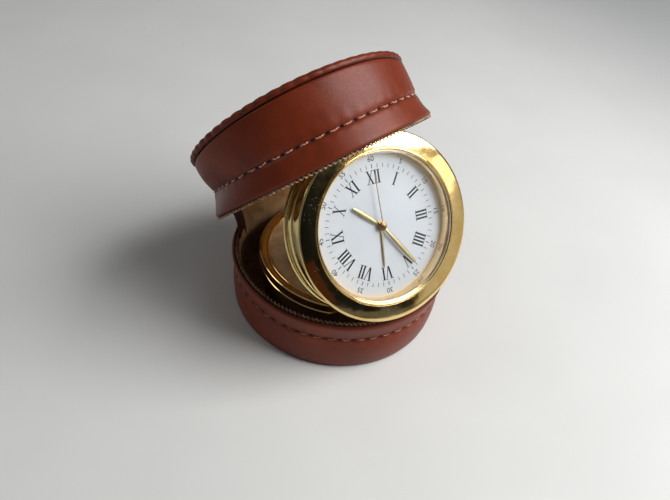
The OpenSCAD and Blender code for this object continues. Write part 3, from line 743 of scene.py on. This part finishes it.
def makeSeat():
    # padded seat under the clock: drawn-in waist and soft shoulders
    low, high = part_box("clock_seat")
    z0, z1 = low.z / mm, high.z / mm
    side = smoothLine([(0, z0), (24, z0), (26.3, z0 + 0.15), (27.2, z0 + 1.1), (27.3, z0 + 5), (27.45, z0 + 10),
                       (27.2, z1 - 1.8), (26.6, z1 - 0.6), (25.6, z1 - 0.05), (20, z1), (0, z1)], 5)
    side[:, 1] = np.clip(side[:, 1], z0, z1)
    piece = surface("clockSeatPad", revolve(side, fullTurn(240)),
                    (seatLeather, "lower_case", "suede", "clock_seat"), loopRows=True)


def makeInlay():
    # a disc with a rounded edge, whose front is cut straight
    low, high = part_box("base_inlay")
    radius, z0, z1 = high.x / mm, low.z / mm, high.z / mm
    disc = roundedCorner([(0, z0), (radius, z0), (radius, z1), (0, z1)], 0.35)
    points = revolve(disc, fullTurn(300))
    points[..., 1] = np.maximum(points[..., 1], low.y / mm)           # the front is cut straight
    surface("inlayVelour", points, (velour, "lower_case", "inlay", "base_inlay"), loopRows=True)


lidRoof = lidShape["bottom"] + lidShape["wallHeight"] - 0.1
suedeCup("caseSuede", 21.35, 1.87, 3.1, inCase, "lower_case", "case_lining")
suedeCup("lidSuede", lidShape["bottom"] + 1.45, lidRoof, lidRoof - 1.2, inSaggedLid, "lid", "lid_lining")
makeSeat()
makeInlay()
report("soft inside")


# zip

zipShape = {
    "pitch": 1.6, "from": 52.0, "radius": 38.22, "across": 0.342, "high": 0.32, "wire": 0.28,
    "tapeFrom": 27, "tapeOut": 38.44, "tapeIn": 38.02,
}


def zipCoil(name, z, out, place, body, node, material):
    # a helix laid along the edge of the tape, a turn for each tooth
    c = zipShape
    start = math.radians(c["from"])
    arc = 2 * np.pi - 2 * start
    turns = round(arc * c["radius"] / c["pitch"])
    s = np.linspace(0, 1, turns * 12 + 1)
    a = s * turns * 2 * np.pi
    r = c["radius"] + out + c["across"] * np.sign(np.cos(a)) * np.abs(np.cos(a)) ** 0.8
    path = place(roundAxis(r, start + arc * s, z + c["high"] * np.sin(a)))
    reference = place(np.array([[0, 0, 1.0]])) - place(np.zeros((1, 3)))
    surface(name, ringsRound(path, reference, 6, c["wire"]), (material, body, "zip_brass", node), 80, **tubeEnds)


def zipTape(name, z0, z1, place, body, node):
    # woven band with a rounded edge
    c = zipShape
    out, inside = c["tapeOut"], c["tapeIn"]
    band = denser(np.array([(out, z0), (out, z1 - 0.12), (out - 0.09, z1), (inside + 0.08, z1),
                            (inside, z1 - 0.12), (inside, z0)]))
    t = np.radians(np.linspace(c["tapeFrom"], 360 - c["tapeFrom"], 480))[:, None]
    surface(name, revolve(band, t, place), (tapeCloth, body, "tape", node), **tubeEnds)


caseRim, lidRim = caseShape["wallHeight"] + 0.05, lidShape["bottom"] - 0.05
zipCoil("caseZipCoil", caseRim + 0.3, 0, inCase, "lower_case", "case_zip_teeth", shadeDarkenedNylon)
zipCoil("lidZipCoil", lidRim - 0.45, 0.55, inSaggedLid, "lid", "lid_zip_teeth", coilNylon)
zipTape("caseZipCloth", 16.3, caseRim, inCase, "lower_case", "case_zip_tape")
zipTape("lidZipCloth", lidRim + 6.55, lidRim, inSaggedLid, "lid", "lid_zip_tape")
report("zip")


# leather over the hinge, webs beside it and suede inside it

stripShape = {"width": 29.0, "thick": 1.15, "long": 11.0, "centreY": 36.98}
gussetShape = {"radius": 38.0, "low": 21.6, "high": 26.6, "from": 26, "to": 42, "thick": 0.55, "tuck": 1.5,
               "wrinkle": 0.38, "fineWrinkle": 0.16}
foldSuedeShape = {"radius": 36.6, "flat": 33.6, "low": 19.6, "high": 28.6, "half": 33, "thick": 0.5,
                  "bend": 1.35, "ripple": 0.1, "inward": (0, -0.889, 0.457)}


def bendingPiece(name, points, material, slot, start, end, nodes=(), sharp=35, shade=None):
    # a soft piece given as places in the case, left in the world with its transform baked in; start and end are not
    # used
    piece = gridPiece(name, inCase(points), sharp, **tubeEnds)
    if shade:
        pointAttribute(piece, "seamShade", shade)
    piece.data.materials.append(material)
    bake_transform(piece)
    if nodes:
        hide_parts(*nodes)


def webBetween(x, y, v, c):
    # straight rows from the low height on the case to the high one on the open lid
    low = np.stack([x, y, np.full_like(x, c["low"])], -1)
    high = np.stack([x, *swung(y, np.full_like(y, c["high"]))], -1)
    return low * (1 - v[..., None]) + high * v[..., None]


def makeBackStrip():
    # a flat section with rounded edges, carried up the case, over the fold and up the lid
    c = stripShape
    y = c["centreY"]
    below = [(y, foldZ - 0.4 - c["long"] * (1 - s)) for s in np.linspace(0, 0.95, 10)]
    above = [swung(y, foldZ + up) for up in np.linspace(0.5, c["long"] + 0.2, 10)]
    line = smoothLine(below + above, 3)
    along = unit(np.gradient(line, axis=0))
    normal = np.stack([along[:, 1], -along[:, 0]], -1)
    half, thick = c["width"] / 2, c["thick"] / 2
    section = roundedCorner([(0, -thick), (half, -thick), (half, thick), (-half, thick), (-half, -thick),
                             (0, -thick)], 0.45)[:-1]
    yz = line[:, None] + section[None, :, 1:2] * normal[:, None]
    x = np.broadcast_to(section[None, :, 0:1], yz.shape[:2] + (1,))
    bendingPiece("hingeStripLeather", np.concatenate([x, yz], -1), leather, "leather", (0, y, foldZ - 2.5),
                 (0, *swung(foldY, foldZ + 2.5)), ["case_back_strip", "lid_back_strip"],
                 shade=lambda p: 0.4 * np.exp(-((np.abs(p @ caseAcross) - half) / 0.6) ** 2))


def gussetPoints(side, t, v, depth):
    # a web from the lower rim to the lid's edge, folded inward in the middle and wrinkled lengthwise
    c = gussetShape
    r = c["radius"] - depth
    arch = np.sin(np.pi * v)
    tuck = c["tuck"] * arch + c["wrinkle"] * arch * np.sin(t * 150 + 3 * v) \
        + c["fineWrinkle"] * np.sin(t * 310 + 9 * v)
    inward = np.stack([np.sin(t) * side, np.cos(t), np.zeros_like(t)], -1)
    return webBetween(r * np.sin(t) * side, r * np.cos(t), v, c) - tuck[..., None] * inward


def makeGussets():
    # a web each side, its two faces a thickness apart
    c = gussetShape
    t, v = np.meshgrid(np.radians(np.linspace(c["from"], c["to"], 60)), np.linspace(0, 1, 26), indexing="ij")
    middle = np.full(2, math.radians((c["from"] + c["to"]) / 2))
    for side, name, nodes in ((-1, "leftGusset", ["side_gussets"]), (1, "rightGusset", ())):
        front, back = gussetPoints(side, t, v, 0.0), gussetPoints(side, t, v, c["thick"])
        bendingPiece(name, np.concatenate([front, back[:, ::-1]], 1), leatherSoft, "leather_dark",
                     *gussetPoints(side, middle, np.array([0.0, 1.0]), 0.3), nodes, 60)


def makeHingeSuede():
    # the lining goes on over the fold, from the rim of one cup to the rim of the other, with a slight sag
    c = foldSuedeShape
    t, v = np.meshgrid(np.radians(np.linspace(-c["half"], c["half"], 90)), np.linspace(0, 1, 24), indexing="ij")
    sheets = []
    for inside in (0, c["thick"]):
        r = flatBackedRadius(c["radius"] - inside, c["flat"] - inside, t)
        arch = np.sin(np.pi * v)
        bend = c["bend"] * arch ** 0.8 + c["ripple"] * arch * np.sin(14 * t + 5 * v)
        sheets.append(webBetween(r * np.sin(t), r * np.cos(t), v, c) + bend[..., None] * np.array(c["inward"]))
    bendingPiece("hingeSuede", np.concatenate([sheets[0], sheets[1][:, ::-1]], 1), suede, "suede",
                 (0, 34.0, 20.4), (0, 38.5, 28.6), sharp=60)


makeBackStrip()
makeGussets()
makeHingeSuede()
report("hinge leather")


# gold base ring

def makeBaseRing():
    # rounded foot, drawn-in side, round top and a small lip over the inlay, carried round the axis
    low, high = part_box("base_ring")
    z0, z1, out = low.z / mm, high.z / mm, high.x / mm
    profile = np.vstack([
        [(out - 2.4, z0 + 0.05), (out - 0.8, z0)],
        arcPoints((out - 0.45, z0 + 0.4), (0.4, 0.4), -90, 80, 6),
        smoothLine([(out - 0.5, z0 + 0.95), (out - 0.62, z0 + 1.5), (out - 0.3, z1 - 2.2),
                    (out - 0.03, z1 - 1.5)], 4),
        arcPoints((out - 1.15, z1 - 1.0), (1.13, 0.96), 0, 90, 12),
        smoothLine([(out - 1.6, z1 - 0.07), (out - 2.4, z1 - 0.3), (out - 3.05, z1 - 0.52)], 4),
        arcPoints((out - 3.32, z1 - 0.62), (0.24, 0.26), 60, 180, 8),
        [(out - 3.56, z1 - 1.25), (out - 2.4, z1 - 1.3), (out - 2.4, z0 + 1.0)]])
    points = revolve(profile, fullTurn(360))
    points[..., 1] = np.maximum(points[..., 1], low.y / mm + out - profile[:, 0])    # the straight front
    surface("baseRingGold", points, (gold, "lower_case", "gold", "base_ring"), 40, **ringLoops)


makeBaseRing()


# clock head

headShape = {
    "bezel": 31.8, "glass": 25.2, "depth": 14.0, "dialDrop": 4.1, "plate": 27.8, "recess": 23.0, "cover": 2.2,
    "notchHalf": 13.3, "notchReach": 2.1, "notchRoof": 2.3, "glowFrom": 22.2, "glowWide": 2.6, "glow": 0.9,
}


def rib(r0, r1, z0, z1):
    # a rounded rib standing out from r0 to r1
    a = np.radians(np.linspace(-90, 90, 15))
    return np.stack([r0 + (r1 - r0) * np.cos(a) ** 0.45, (z0 + z1) / 2 + (z1 - z0) / 2 * np.sin(a)], -1)


def inNotchedHead(p):
    # the hinge notch is left open: points of the rear rim there are lifted to the notch's roof
    c = headShape
    roof = c["notchRoof"] - c["depth"]
    inNotch = (np.abs(p[..., 0]) < c["notchHalf"]) & (np.abs(p[..., 1] + pinOut) < c["notchReach"])
    inNotch &= (p[..., 1] < -22) & (p[..., 2] < roof - 0.05)
    return inHead(np.stack([p[..., 0], p[..., 1], np.where(inNotch, roof, p[..., 2])], -1))


def paintInside(piece, radius, material):
    # faces nearer to the head's axis than the radius take a second material
    piece.data.materials.append(material)
    for face in piece.data.polygons:
        face.material_index = int(math.hypot(*fromHeadAxis(np.array(face.center) / mm)) < radius)


def headPiece(name, profile, count, material, slot, node, sharp=35, place=inHead, shade=None):
    points = revolve(np.asarray(profile), fullTurn(count), place)
    return surface(name, points, (material, "head", slot, node), sharp, shade, **ringLoops)


def makeHeadMetal():
    # three ribs on the shell, a bezel with a flat face and a bead at the glass, a slanting ring inside it
    c = headShape
    b, g, plate = c["bezel"], c["glass"], c["plate"]
    groove, back = b - 2, -c["depth"]
    headPiece("headShellGold", np.vstack([
        [(c["recess"], back + 0.05), (groove, back)],
        rib(groove, b - 0.6, back, back + 2),
        rib(groove, b - 1.1, back + 2.3, -8.3),
        rib(groove, b - 1.1, -8.0, -2.3),
        [(groove, -2), (plate, -2), (plate, back + c["cover"]), (c["recess"], back + c["cover"])]]),
        360, ribGold, "gold", "head_shell", 50, inNotchedHead)

    bezel = headPiece("bezelGold", np.vstack([
        [(g + 0.06, -1.4), (g + 0.06, 0.35)],
        arcPoints((g + 0.5, 0.42), (0.42, 0.26), 170, 10, 10),
        [(g + 0.96, 0.12), (g + 1.08, 0.12)],
        smoothLine([(g + 1.16, 0.27), (g + 1.4, 0.27), ((g + b) / 2, 0.18), (b - 1.2, -0.02), (b - 0.5, -0.17),
                    (b - 0.12, -0.45), (b - 0.02, -0.8), (b - 0.1, -1.25), (b - 0.5, -1.7)], 6),
        [(b - 2, -1.95), (plate - 0.1, -1.95), (plate - 0.1, -1.4)]]), 420, gold, "gold", "bezel", 60)
    paintInside(bezel, g + 0.14, satinGold)                 # the wall beside the glass was turned, not polished

    floor, out = -c["dialDrop"], plate - 0.1
    headPiece("innerRingRose", roundedCorner([
        (out, -2.1), (out, floor), (g - 0.9, floor), (g - 0.75, -1.3), (g - 0.4, -0.42), (g - 0.02, -0.42),
        (g + 0.05, -1.5), (g + 0.05, -2.1), (out, -2.1)], 0.12)[:-1], 360, roseGold, "rose_gold", "inner_ring", 40)


def makeDialAndGlass():
    # the glass gets thinner with the square of the distance from its middle, the dial is a flat plate
    c = headShape
    g, floor, out = c["glass"], -c["dialDrop"], c["plate"] - 0.1
    across = np.linspace(0, g - 0.3, 24)
    r = np.concatenate([across, [g - 0.05, g, g, g - 0.05], np.linspace(g - 0.3, 0, 12)])
    z = np.concatenate([0.46 - 0.11 * (across / g) ** 2, [0.33, 0.27, -0.3, -0.35], np.full(12, -0.35)])
    surface("glassDome", revolve(np.stack([r, z], -1), fullTurn(240), inHead), (clear, "head", "glass", "glass"),
            loopRows=True)

    def ringGlow(points):
        # painted warm light of the gold ring: its share rises from the printed minutes to the rim
        share = (np.hypot(*fromHeadAxis(points)) - c["glowFrom"]) / c["glowWide"]
        return c["glow"] * np.clip(share, 0, 1) ** 1.5
    plate = roundedCorner([(1.1, floor - 0.4), (out, floor - 0.4), (out, floor - 0.02), (1.1, floor - 0.02),
                           (1.1, floor - 0.4)], 0.03)[:-1]
    headPiece("dialPlate", denser(plate, 0.6), 240, whiteLacquer, "dial_white", "dial",
              shade=("ringGlow", ringGlow))


makeHeadMetal()
makeDialAndGlass()
report("head")


# printing on the dial

dialPrint = {
    "tickRadius": 20.05, "tickLong": 1.4, "tickWide": 0.17, "fifthTick": 1.5, "numberRadius": 22.4,
    "numberSize": 2.484, "romanRadius": 16.46, "romanHeight": 4.5, "thick": 0.6, "thin": 0.24, "serif": 0.36,
    "serifHigh": 0.035, "gap": 0.035, "film": 0.02, "height": -headShape["dialDrop"] - 0.015,
}
romanHours = ["XII", "I", "II", "III", "IIII", "V", "VI", "VII", "VIII", "IX", "X", "XI"]
romanBars = {                                               # foot, head and weight of each bar
    "I": [(0, 0, "thick")], "V": [(0, -0.2, "thick"), (0.02, 0.24, "thin")],
    "X": [(0.21, -0.21, "thick"), (-0.21, 0.21, "thin")],
}


def stroke(x0, y0, x1, y1, width):
    # a slanting bar whose ends lie level: two corners at the foot and two at the head
    half = width / 2
    return [(x0 - half, y0), (x0 + half, y0), (x1 + half, y1), (x1 - half, y1)]


def romanLetter(letter):
    # bars and serifs of one letter of height 1, and its width
    c = dialPrint
    serif, line = c["serif"] / c["romanHeight"], c["serifHigh"]
    bars, feet, heads = [], [], []
    for x0, x1, weight in romanBars[letter]:
        width = c[weight] / c["romanHeight"]
        bars.append(stroke(x0, 0, x1, 1, width))
        feet.append(stroke(x0, 0, x0, line, width + 2 * serif))
        heads.append(stroke(x1, 1 - line, x1, 1, width + 2 * serif))
    if letter == "V":
        feet = []
    return bars + feet + heads, width + 1.2 * serif if letter == "I" else 0.62


def romanNumber(text):
    # letters side by side, with the number's middle at 0
    c = dialPrint
    parts = [romanLetter(letter) for letter in text]
    x, shapes = -(sum(width for _, width in parts) + c["gap"] * (len(parts) - 1)) / 2, []
    for bars, width in parts:
        shapes += [[(px + x + width / 2, py - 0.5) for px, py in bar] for bar in bars]
        x += width + c["gap"]
    return np.array(shapes) * c["romanHeight"]


def platesPiece(name, outlines):
    # each four-cornered outline becomes a thin plate of ink, and bars that cross are stacked by a hair
    c = dialPrint
    n = len(outlines)
    height = np.broadcast_to((c["height"] + np.arange(n) % 7 * 0.0012)[:, None, None], (n, 4, 1))
    low = np.concatenate([outlines, height], -1)
    points = np.concatenate([low, low + [0, 0, c["film"]]], 1).reshape(-1, 3)
    box = np.array([[0, 3, 2, 1], [4, 5, 6, 7], [0, 1, 5, 4], [1, 2, 6, 5], [2, 3, 7, 6], [3, 0, 4, 7]])
    faces = (box[None] + np.arange(n)[:, None, None] * 8).reshape(-1, 4)
    finishPiece(linked(name, newMesh(name, inHead(points), faces)), blackInk, "head", "dial_white")


def minuteNumber(minute):
    # text made a mesh, turned to its minute and laid on the dial
    c = dialPrint
    name = "minuteNumber" + str(minute)
    curve = bpy.data.curves.new(name, "FONT")
    curve.body = str(minute)
    curve.align_x = curve.align_y = "CENTER"
    curve.size = c["numberSize"]
    curve.extrude = c["film"] / 2
    text = linked(name + "Text", curve)
    mesh = bpy.data.meshes.new_from_object(text.evaluated_get(bpy.context.evaluated_depsgraph_get()))
    bpy.data.objects.remove(text)
    mesh.name = name
    co = np.empty(len(mesh.vertices) * 3)
    mesh.vertices.foreach_get("co", co)
    co = co.reshape(-1, 3)
    spun = turned(co, minute * 6, c["numberRadius"])
    place = inHead(np.concatenate([spun, co[:, 2:] + c["height"] + c["film"] / 2], -1)) * mm
    mesh.vertices.foreach_set("co", place.ravel())
    finishPiece(linked(name, mesh), blackInk, "head", "dial_white")


def makePrinting():
    # all is drawn at twelve and turned by 30 degrees an hour or 6 a minute
    c = dialPrint
    romans = [turned(romanNumber(text), hour * 30, c["romanRadius"]) for hour, text in enumerate(romanHours)]
    platesPiece("romanNumerals", np.concatenate(romans))
    ticks = []
    for minute in range(60):
        width = c["tickWide"] * (c["fifthTick"] if minute % 5 == 0 else 1)
        tick = np.array(stroke(0, -c["tickLong"] / 2, 0, c["tickLong"] / 2, width))
        ticks.append(turned(tick, minute * 6, c["tickRadius"]))
    platesPiece("minuteTicks", ticks)
    for minute in range(5, 65, 5):
        minuteNumber(minute)


makePrinting()
report("dial")


# hands

handShapes = {
    "hourHand": {"at": 310, "z": 0.85, "long": 12.9, "wide": 1.65, "tail": 2.6, "hub": 1.6, "widest": 0.7},
    "minuteHand": {"at": 145, "z": 1.35, "long": 18.9, "wide": 1.5, "tail": 2.6, "hub": 1.5, "widest": 0.55},
    "alarmHand": {"at": 184, "z": 0.35, "long": 14.2, "wide": 0.8, "tail": 0.0, "hub": 1.7, "widest": 0.3},
    "secondHand": {"at": 359, "z": 1.85, "long": 17.8, "wide": 0.34, "tail": 4.0, "hub": 1.25, "widest": 0.2},
}


def bladePoints(c, z0):
    # a crowned bar: width swells to its widest place and runs out to a point, the top is a low arch
    s = np.concatenate([np.linspace(0, 0.9, 16), np.linspace(0.92, 1, 9)])
    y = -c["tail"] + (c["long"] + c["tail"]) * s
    share = np.clip(y / c["long"], -1, 1)
    swell = np.where(share < c["widest"], 0.5 + 0.5 * np.sin(np.clip(share / c["widest"], 0, 1) * np.pi / 2),
                     1 - 0.35 * np.clip((share - c["widest"]) / (1 - c["widest"]), 0, 1) ** 1.4)
    tip = np.sqrt(np.clip((1 - share) / 0.055, 0, 1))
    half = c["wide"] / 2 * swell * np.maximum(tip, 0.03)
    a = np.linspace(0, np.pi, 7)
    top = 0.06 + 0.2 * np.sin(a) * np.minimum(1, half / (c["wide"] / 2) + 0.2)[:, None]
    x = np.concatenate([half[:, None] * np.cos(a), -half[:, None], half[:, None]], 1)
    z = np.concatenate([top, np.zeros((len(s), 2))], 1) + z0
    return np.stack([x, np.broadcast_to(y[:, None], x.shape), z], -1)


def makeHand(name, body):
    # a blade on a rounded hub, and on the second hand a domed cap over it
    c = handShapes[name]
    z0 = c["z"] - headShape["dialDrop"]
    place, blade = clockwise(c["at"]), bladePoints(c, z0)
    hub = roundedCorner([(0.56, z0), (c["hub"], z0), (c["hub"], z0 + 0.3), (0.56, z0 + 0.36), (0.56, z0)], 0.08)
    grids = [(place(blade), tubeEnds), (revolve(hub[:-1], fullTurn(48), place), ringLoops)]
    if name == "secondHand":
        cap = np.vstack([[(0, z0 + 0.3), (0.95, z0 + 0.3)], arcPoints((0.62, z0 + 0.5), (0.33, 0.3), -10, 90, 6),
                         [(0.3, z0 + 0.83), (0, z0 + 0.85)]])
        grids.append((revolve(cap, fullTurn(48), place), {"loopRows": True}))
    piece = joinedGrids(name, grids, 50)

    def edgeShade(points):
        # painted shade: the edges of the blade are darker than its crown, for the dark they mirror: the cube of the
        # share of its half width
        u, v = fromHeadAxis(points)
        across, along = turned(np.stack([u, v], -1), -c["at"]).T
        share = np.abs(across) / np.interp(along, blade[:, 0, 1], blade[:, 0, 0])
        return np.where(np.hypot(u, v) > c["hub"], np.clip(share, 0, 1) ** 3, 0)
    pointAttribute(piece, "edgeShade", edgeShade)
    finishPiece(piece, handGold, body, "hands_gold", body)
    paintInside(piece, c["hub"], hubGold)


for handName, handBody in (("hourHand", "hour_hand"), ("minuteHand", "minute_hand"),
                           ("alarmHand", "alarm_hand"), ("secondHand", "second_hand")):
    makeHand(handName, handBody)
report("hands")


# back of the head, hinge and zip slider

knobShape = {"radius": 4.0, "flutes": 22, "fluteDepth": 0.28, "high": 1.6, "proud": 1.9, "stem": 1.0,
             "stemLong": 2.6, "up": 6.0, "aside": 8.0}


def makeKnob(name, body, side):
    # a fluted cap: the radius falls by a rounded wave, and the stem runs into the back
    c = knobShape
    cover = headShape["cover"] - headShape["depth"]
    z0, z1, z2 = cover - c["proud"], cover - c["proud"] + c["high"], cover + c["stemLong"]
    r, z = roundedCorner([(0, z0), (c["radius"], z0), (c["radius"], z1), (c["stem"], z1), (c["stem"], z2),
                          (0, z2)], 0.3).T
    t = fullTurn(264)
    r = r - c["fluteDepth"] * np.abs(np.sin(t * c["flutes"] / 2)) ** 0.7 * (r > 3.2)
    points = inHead(roundAxis(r, t, z) + [side * c["aside"], c["up"], 0])
    surface(name, points, (blackPlastic, body, "black_plastic", body), loopRows=True)


makeKnob("timeKnobFluted", "time_knob", -1)
makeKnob("alarmKnobFluted", "alarm_knob", 1)
for nodeName, pieceName, finish, bodyName, slotName, edge in (
        ("battery_door", "batteryDoorRibbed", blackPlastic, "battery_door", "black_plastic", 0.15),
        ("alarm_switch", "alarmSwitchKey", steel, "alarm_switch", "steel", 0.15),
        ("zip_slider", "zipSliderBody", brass, "zip_slider", "zip_brass", 0.18),
        ("zip_pull", "zipPullTab", brass, "zip_pull", "zip_brass", 0.18),
        ("base_hinge_leaf", "baseHingeKnuckle", gold, "lower_case", "gold", 0.1),
        ("head_hinge_leaves", "headHingeKnuckles", gold, "head", "gold", 0.1)):
    finishPiece(fromNode(nodeName, pieceName, edge), finish, bodyName, slotName, nodeName)

plainNodes = {
    "case_bottom": leather, "base_underplate": steel, "hinge_pin": steel, "movement_holder": whitePlastic,
    "movement": blackPlastic, "hand_post": brass, "back_cover": blackPlastic, "battery": steel, "sounder": brass,
    "cover_screws": steel,
}
for nodeName, finish in plainNodes.items():
    frame["nodes"][nodeName].data.materials.clear()
    frame["nodes"][nodeName].data.materials.append(finish)
report("fittings")


# table, lights and camera

tableShape = {"half": 6000.0, "paintedFalloffPerMetre": 2.0}
lightAim, cardAim = Vector((0, 0, 30)), Vector((0, -20, 50))
cameraShape = {
    "azimuth": -35.27, "elevation": 42.1124, "away": 285.7, "target": (0, 0, 20), "roll": 0.162, "pan": -0.006,
    "tilt": 0.004, "focal": 760 / 670,                      # focal length over the picture's width
}


def rectangle(name, corners, m):
    board = linked(name, newMesh(name, corners, [(0, 1, 2, 3)]))
    board.data.materials.append(m.material)
    return board


def makeTable():
    # painted board, with a painted shade that darkens it towards +x, standing in for the window's light falling off
    c = tableShape
    m = startMaterial("paintedTable", {"Roughness": 0.55, "Specular IOR Level": 0.3})
    along = addNode(m, "VectorMath", {0: m.place, 1: (c["paintedFalloffPerMetre"], 0, 0)}, "Value", operation="DOT_PRODUCT")
    clouds = addNode(m, "TexNoise", {"Scale": perMetre(60), "Detail": 3})
    paint = addNode(m, "ValToRGB", {"Fac": clouds}, stops=[(0.3, "CFCFCD"), (0.7, "D3D3D1")])
    # painted shade: the board darkens to A3A4A4 along +x
    paintedFalloff = addNode(m, "ValToRGB", {"Fac": along}, stops=[(0.28, 0.0), (0.75, 1.0)])
    endMaterial(m, addNode(m, "Mix", {0: paintedFalloff, 6: paint, 7: "A3A4A4"}, 2, data_type="RGBA"))
    h = c["half"]
    rectangle("tableTop", [(-h, -h, 0), (h, -h, 0), (h, h, 0), (-h, h, 0)], m)


def directionFrom(azimuth, elevation):
    # azimuth from -Y towards +X, seen from above
    a, e = math.radians(azimuth), math.radians(elevation)
    return Vector((math.sin(a) * math.cos(e), -math.cos(a) * math.cos(e), math.sin(e)))


def areaLight(name, azimuth, elevation, distance, size, power, colour="FFFFFF"):
    out = directionFrom(azimuth, elevation)
    lamp = bpy.data.lights.new(name, "AREA")
    lamp.shape = "RECTANGLE"
    lamp.size, lamp.size_y = size[0] * mm, size[1] * mm
    lamp.energy = power
    lamp.color = linearColour(colour)[:3]
    light = linked(name, lamp)
    light.location = (lightAim + out * distance) * mm
    light.rotation_euler = out.to_track_quat("Z", "Y").to_euler()


def card(name, azimuth, elevation, distance, size, colour):
    # a board outside the picture that the polished gold mirrors
    out = directionFrom(azimuth, elevation)
    turn = out.to_track_quat("Z", "Y").to_matrix()
    where = cardAim + out * distance
    w, h = size[0] / 2, size[1] / 2
    m = startMaterial(name + "Card", {"Base Color": colour, "Roughness": 0.9, "Specular IOR Level": 0.1})
    board = rectangle(name, [where + turn @ Vector(p) for p in ((-w, -h, 0), (w, -h, 0), (w, h, 0), (-w, h, 0))], m)
    board.visible_camera = False
    board.visible_shadow = False
    board.visible_diffuse = False


def makeLights():
    # a large window at the right, weak fills, and dark boards for the gold to mirror
    world = bpy.data.worlds.new("studio")
    world.use_nodes = True
    background = [n for n in world.node_tree.nodes if n.type == "BACKGROUND"][0]
    background.inputs["Color"].default_value = linearColour("E9EDF0")
    background.inputs["Strength"].default_value = 0.14
    sceneNow.world = world
    areaLight("windowLight", 55, 46, 650, (500, 460), 6.3)
    areaLight("bounceLight", 45, 13, 600, (320, 300), 0.122, "FFF6E6")
    areaLight("edgeGlow", 46, 20, 620, (170, 70), 0.055, "FFF6E6")
    areaLight("leftWall", -125, 34, 900, (360, 300), 0.75, "FFFAF2")
    card("darkBoard", 1, 22, 480, (450, 335), "0E141A")
    card("brownBoard", 5, 10, 430, (125, 80), "54301F")
    card("lowBoard", 29, 2, 430, (36, 60), "1C1910")


def makeCamera():
    # looks at the target from its azimuth and elevation, then turns by pan, tilt and roll in radians
    c = cameraShape
    away = np.array(directionFrom(c["azimuth"], c["elevation"]))
    eye = (np.array(c["target"]) + away * c["away"]) * mm
    right = unit(np.cross(-away, upward))
    top = np.cross(right, -away)
    forward = right * math.sin(c["pan"]) - away * math.cos(c["pan"])
    forward = forward * math.cos(c["tilt"]) + top * math.sin(c["tilt"])
    right = unit(np.cross(forward, top))
    top = np.cross(right, forward)
    across = right * math.cos(c["roll"]) + top * math.sin(c["roll"])
    up = top * math.cos(c["roll"]) - right * math.sin(c["roll"])
    lens = bpy.data.cameras.new("photoCamera")
    lens.sensor_width = 36.0
    lens.lens = c["focal"] * lens.sensor_width
    lens.clip_start, lens.clip_end = 0.01, 10.0
    camera = linked("photoCamera", lens)
    camera.matrix_world = Matrix([*np.stack([across, up, -forward, eye], -1).tolist(), [0, 0, 0, 1]])
    sceneNow.camera = camera


makeTable()
makeLights()
makeCamera()
sceneNow.view_settings.view_transform = "Standard"
report("stage")
